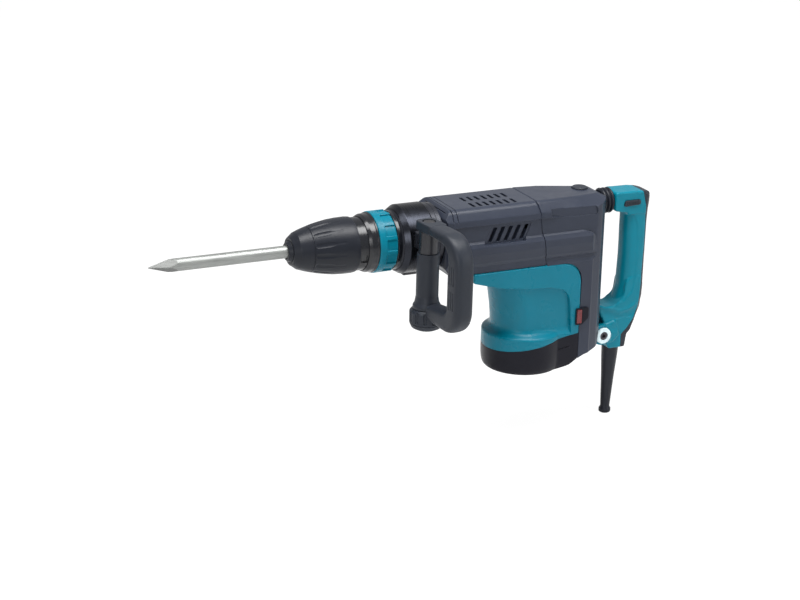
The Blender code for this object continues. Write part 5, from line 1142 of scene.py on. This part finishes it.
def makeHandleForm():
    # the whole handle as one skin, before it is parted into shells and pad
    px, pz, half = handle["pivotX"], handle["pivotZ"], handle["half"]
    # the arm, the grip, the foot and the pivot's boss with its web are drawn one by one
    arm = roundOutline([(508.3, 37.2, 4), (546, 36.4, 8), (564, 34.0, 9), (575.0, 28.6, 8), (574.4, 20, 9),
                        (570.5, 8, 8), (566, 0), (531, 0), (531, 4, 5), (508.3, 8.4, 4)])
    form = softened(slab("handleForm", arm, "Y", -half, half), 5.5, 4)
    grip = bentBar("grip", [(551, 22), (550.8, -50, 200), (549.5, -118, 60), (541, -158)],
                   [(0, 20.0, 18.0), (0.25, 19.8, 18.4), (0.5, 18.8, 18.8), (0.75, 19.8, 18.8), (1, 23, 19)],
                   2.5)
    foot = roundOutline([(486.5, -133, 4), (500, -139.5, 8), (517, -139.5, 12), (532, -127, 14),
                         (536, -96, 16), (560, -96), (569, -120, 8), (567.5, -150, 14), (557, -174, 12),
                         (541, -186.5, 4), (538, -207.3, 2), (510, -207.3, 4), (505, -194), (496, -176),
                         (500, -164, 6), (489, -142, 4)], 8)
    sole = softened(slab("foot", foot, "Y", -half, half), 6.0, 4)
    r = handle["pivotRadius"]
    boss = turned("boss", [(-24, 0), (-24, r, 1.6), (24, r, 1.6), (24, 0)], "Y", (px, 0, pz), 72)
    neck = [(px + 2, pz + 15), (px + 24, pz + 22), (px + 30, pz - 4), (px + 20, pz - 14), (px + 2, pz - 15)]
    web = softened(slab("web", roundOutline([p + (5,) for p in neck]), "Y", -22.5, 22.5), 3.5, 4)
    combine(form, grip, sole, boss, web)
    remesh = form.modifiers.new("one skin", "REMESH")
    remesh.mode = "VOXEL"
    remesh.voxel_size = handle["voxel"]
    applyModifiers(form)
    rear = [(-230, 541), (-208, 541), (-186.5, 543.5), (-174, 557.5), (-150, 568), (-130, 570), (0, 569.8),
            (6, 570.5), (20, 574), (27, 574.8), (32, 571), (36, 563), (60, 558)]
    rings = []
    for z, x in rear:
        deep = 15.0 if z > -180 else 8.0
        curve = [(x - deep + deep * cos(radians(t)), 19.6 * sin(radians(t))) for t in range(-90, 91, 9)]
        if z < -180:
            curve = [(a, b * 1.3) for a, b in curve]
        rings.append([(a, b, z) for a, b in [(470, -26)] + curve + [(470, 26)]])
    keepInside(form, skinned("rearCurve", rings))
    smooth = form.modifiers.new("smooth", "SMOOTH")
    smooth.factor = 0.5
    smooth.iterations = 9
    applyModifiers(form)
    sculptHandle(form.data)
    return form


def sculptHandle(mesh):
    # the grip sinks inside its border, and a ridge sweeps over the foot
    for vertex in mesh.vertices:
        x, y, z = vertex.co
        if abs(y) < 6 or z > 8 or z < -160:
            continue
        face = min(1.0, (abs(y) - 6) / 8) * (1 if y > 0 else -1)
        far, side = nearLine(x, z, gripBorder)
        inside = side < 0 and x < 553
        sink = 0.9 * min(1.0, far / 2.5) if inside and z > -136 else 0.0
        far, side = nearLine(x, z, swooshRidge)
        ridge = 1.1 * exp(-(far / 3.0) ** 2)
        hollow = 1.2 * exp(-((far - 9.0) / 6.0) ** 2) if side < 0 and z < -138 else 0.0
        vertex.co.y += face * (ridge - sink - hollow)
    mesh.update()


def padSide(shift):
    # everything behind the line, as an outline
    line = [(x + shift, z) for x, z in padLine]
    return line + [(530.0 + shift, -230.0), (640, -230), (640, 60)]


def copied(obj, name):
    twin = bpy.data.objects.new(name, obj.data.copy())
    scene.collection.objects.link(twin)
    return twin


def switchOutline(clear):
    low, high = handle["slotLow"] - clear, handle["slotHigh"] + clear
    return roundOutline([(521.5 - clear, low, 3), (550 + clear, low + 1.6, 3), (550.5 + clear, high, 3),
                         (524.5 - clear, high, 3)], 4)


def makeRearHandle():
    form = makeHandleForm()
    px, pz, swing = handle["pivotX"], handle["pivotZ"], handle["pivotRadius"] + 1.5
    pad = copied(form, "gripPad")
    keepInside(pad, slab("padSide", padSide(gap), "Y", -60, 60))
    slot = [(470, pz - swing)] + arcPoints(px, pz, swing, -90, 90, 16) + [(px, -146), (470, -146)]
    tools = slab("lugSlot", slot, "Y", -10.3, 10.3)
    combine(tools, slab("switchSlot", switchOutline(gap), "Y", -50, 50),
            block("gripChannel", (538, -12.7, -138), (549, 12.7, 10.8)),
            rod("guardSeat", 9.8, "Z", -230, -198, (523.7, 0, 0), 32),
            rod("upperScrew", 3.7, "Y", 14.9, 40, (512.5, 0, 27.5), 32),
            rod("lowerScrew", 3.7, "Y", 14.9, 40, (540, 0, -164), 32))
    carve(form, slab("padSide", padSide(0.0), "Y", -60, 60))
    carve(form, tools)
    for name, side in (("handleShellNear", -1), ("handleShellFar", 1)):
        low, high = sorted((side * gap / 2, side * 60))
        half = keepInside(copied(form, name), block("side", (400, low, -300), (700, high, 100)))
        carve(half, rod("pivotHole", 6.3, "Y", -50, 50, (px, 0, pz), 32))
        node = "handle_shell_near" if side < 0 else "handle_shell_far"
        finishPiece(half, finishes["teal grip"], "teal plastic", node, sharp=50)
    dropObject(form)
    finishPiece(pad, finishes["soft black"], "soft black", "handle_grip_pad", sharp=50)


def makeHandleFittings():
    px, pz = handle["pivotX"], handle["pivotZ"]
    bar = softened(slab("switchBar", switchOutline(0.0), "Y", -21.3, 18.6), 0.8, 3)
    low = handle["slotLow"]
    rib = softened(block("rib", (-0.5, -22.0, low + 2.6), (0.5, -20.8, low + 7.6)), 0.25, 2)
    addOn(bar, repeated(rib, 8, step=(2.7, 0, 0), start=(527.5, 0, 0)))
    finishPiece(bar, finishes["soft black"], "rubber", "switch_bar")
    unit = softened(block("switchUnit", (536.5, -10.5, -46), (547.7, 10.5, 10.5)), 0.8, 2)
    terminal = softened(block("terminal", (540, -1.6, -49.5), (540.8, 1.6, -45)), 0.2, 1)
    addOn(unit, repeated(terminal, 3, step=(2.6, 0, 0)))
    finishPiece(unit, finishes["cap black"], "housing black", "switch_body")
    ring = [(24.3, 6.5), (24.3, 12.6, 0.5), (26.6, 12.3, 0.8), (27.5, 10.6, 0.5), (27.5, 6.5)]
    for name, side in (("near", -1), ("far", 1)):
        outline = [(side * corner[0],) + corner[1:] for corner in ring]
        washer = turned("pivotRing" + name.title(), outline, "Y", (px, 0, pz), 72)
        finishPiece(washer, finishes["white plastic"], "white plastic", "pivot_ring_" + name)
    outline = [(-26.9, 0), (-26.9, 6, 0.6), (26.9, 6, 0.6), (26.9, 0)]
    bolt = turned("pivotBolt", outline, "Y", (px, 0, pz), 48)
    hexagon = [(px + 3.3 * cos(k * pi / 3), pz + 3.3 * sin(k * pi / 3)) for k in range(6)]
    for side in (-1, 1):
        near, far = sorted((side * 22.5, side * 40))
        carve(bolt, slab("socket", hexagon, "Y", near, far))
    finishPiece(bolt, finishes["dark steel"], "dark steel", "pivot_bolt")


guard = {"x": 523.7, "top": -207.5, "low": -317.0, "lean": 0.03}


def makeCordGuard(size):
    top, low = size["top"] - gap, size["low"]
    sleeve = turned("cordGuard", [
        (-198.3, 4.5), (-198.3, 9.5), (top, 9.5), (top, 13.0, 1.0), (top - 6, 12.6), (top - 20, 11.9),
        (top - 50, 9.7), (top - 80, 8.1), (low + 10, 7.0, 3), (low + 8, 8.0, 1.2), (low + 6.2, 9.1, 1.5),
        (low + 1.5, 9.1, 1.5), (low, 7.2, 1), (low, 4.5)], "Z", (size["x"], 0, 0), 72)
    for vertex in sleeve.data.vertices:
        vertex.co.x -= max(0.0, top - vertex.co.z) * size["lean"]
    finishPiece(sleeve, finishes["rubber"], "rubber", "cord_guard")
    outline = roundOutline([(538.5, -190, 1), (545.5, -183.5, 1), (547, -190, 2), (541, -207.5, 1.5),
                            (533, -210, 1), (534.5, -208.2, 1), (538.6, -207.8)], 3)
    clip = softened(slab("cordClip", outline, "Y", -8, 8), 0.8, 2)
    finishPiece(clip, finishes["cap black"], "soft black", "cord_clip")


bellows = {"start": 489.4, "end": 508.0, "z": 22.0, "folds": 3.0, "radius": 16.2, "depth": 3.0}


def makeBellows(size):
    z = size["z"]
    sleeve = grown("handleBellows", foldTree, {
        "Start": (size["start"], 0, z), "End": (size["end"], 0, z), "Folds": size["folds"],
        "Radius": size["radius"], "Depth": size["depth"]})
    shared = ("housing", "rear_handle", inFrame(size["start"] + 1, 0, z), inFrame(size["end"] - 1, 0, z))
    finishPiece(sleeve, finishes["rubber"], "rubber", "bellows", sharp=40, shared=shared)
    spring = coil("handleSpring", size["start"], size["end"], 9.5, 1.2, 5, z)
    finishPiece(spring, finishes["steel"], "steel", "handle_spring", sharp=60, shared=shared)


makeRearHandle()
makeHandleFittings()
makeCordGuard(guard)
makeBellows(bellows)
print("rear handle ready")

# what stays as it is in the frame gets its finish
inside = {
    "steel": ("lock_ball_upper", "lock_ball_lower", "impact_bolt", "cylinder", "striker", "piston",
              "connecting_rod", "wrist_pin", "crankshaft", "crank_gear", "countershaft", "armature_shaft",
              "armature_bearing_lower", "armature_bearing_upper", "crank_bearing"),
    "dark steel": ("tool_holder", "armature_core", "field_core", "handle_screw_upper", "handle_screw_lower"),
    "rubber": ("impact_damper",),
    "cast alloy": ("gear_plate",),
    "copper": ("commutator",),
    "brass": ("brush_plate",),
    "carbon": ("carbon_brush_near", "carbon_brush_far"),
    "housing black": ("cooling_fan",),
}
for finish, names in inside.items():
    for name in names:
        for materialSlot in frame["nodes"][name].material_slots:
            materialSlot.material = finishes[finish]
print("inner pieces finished")
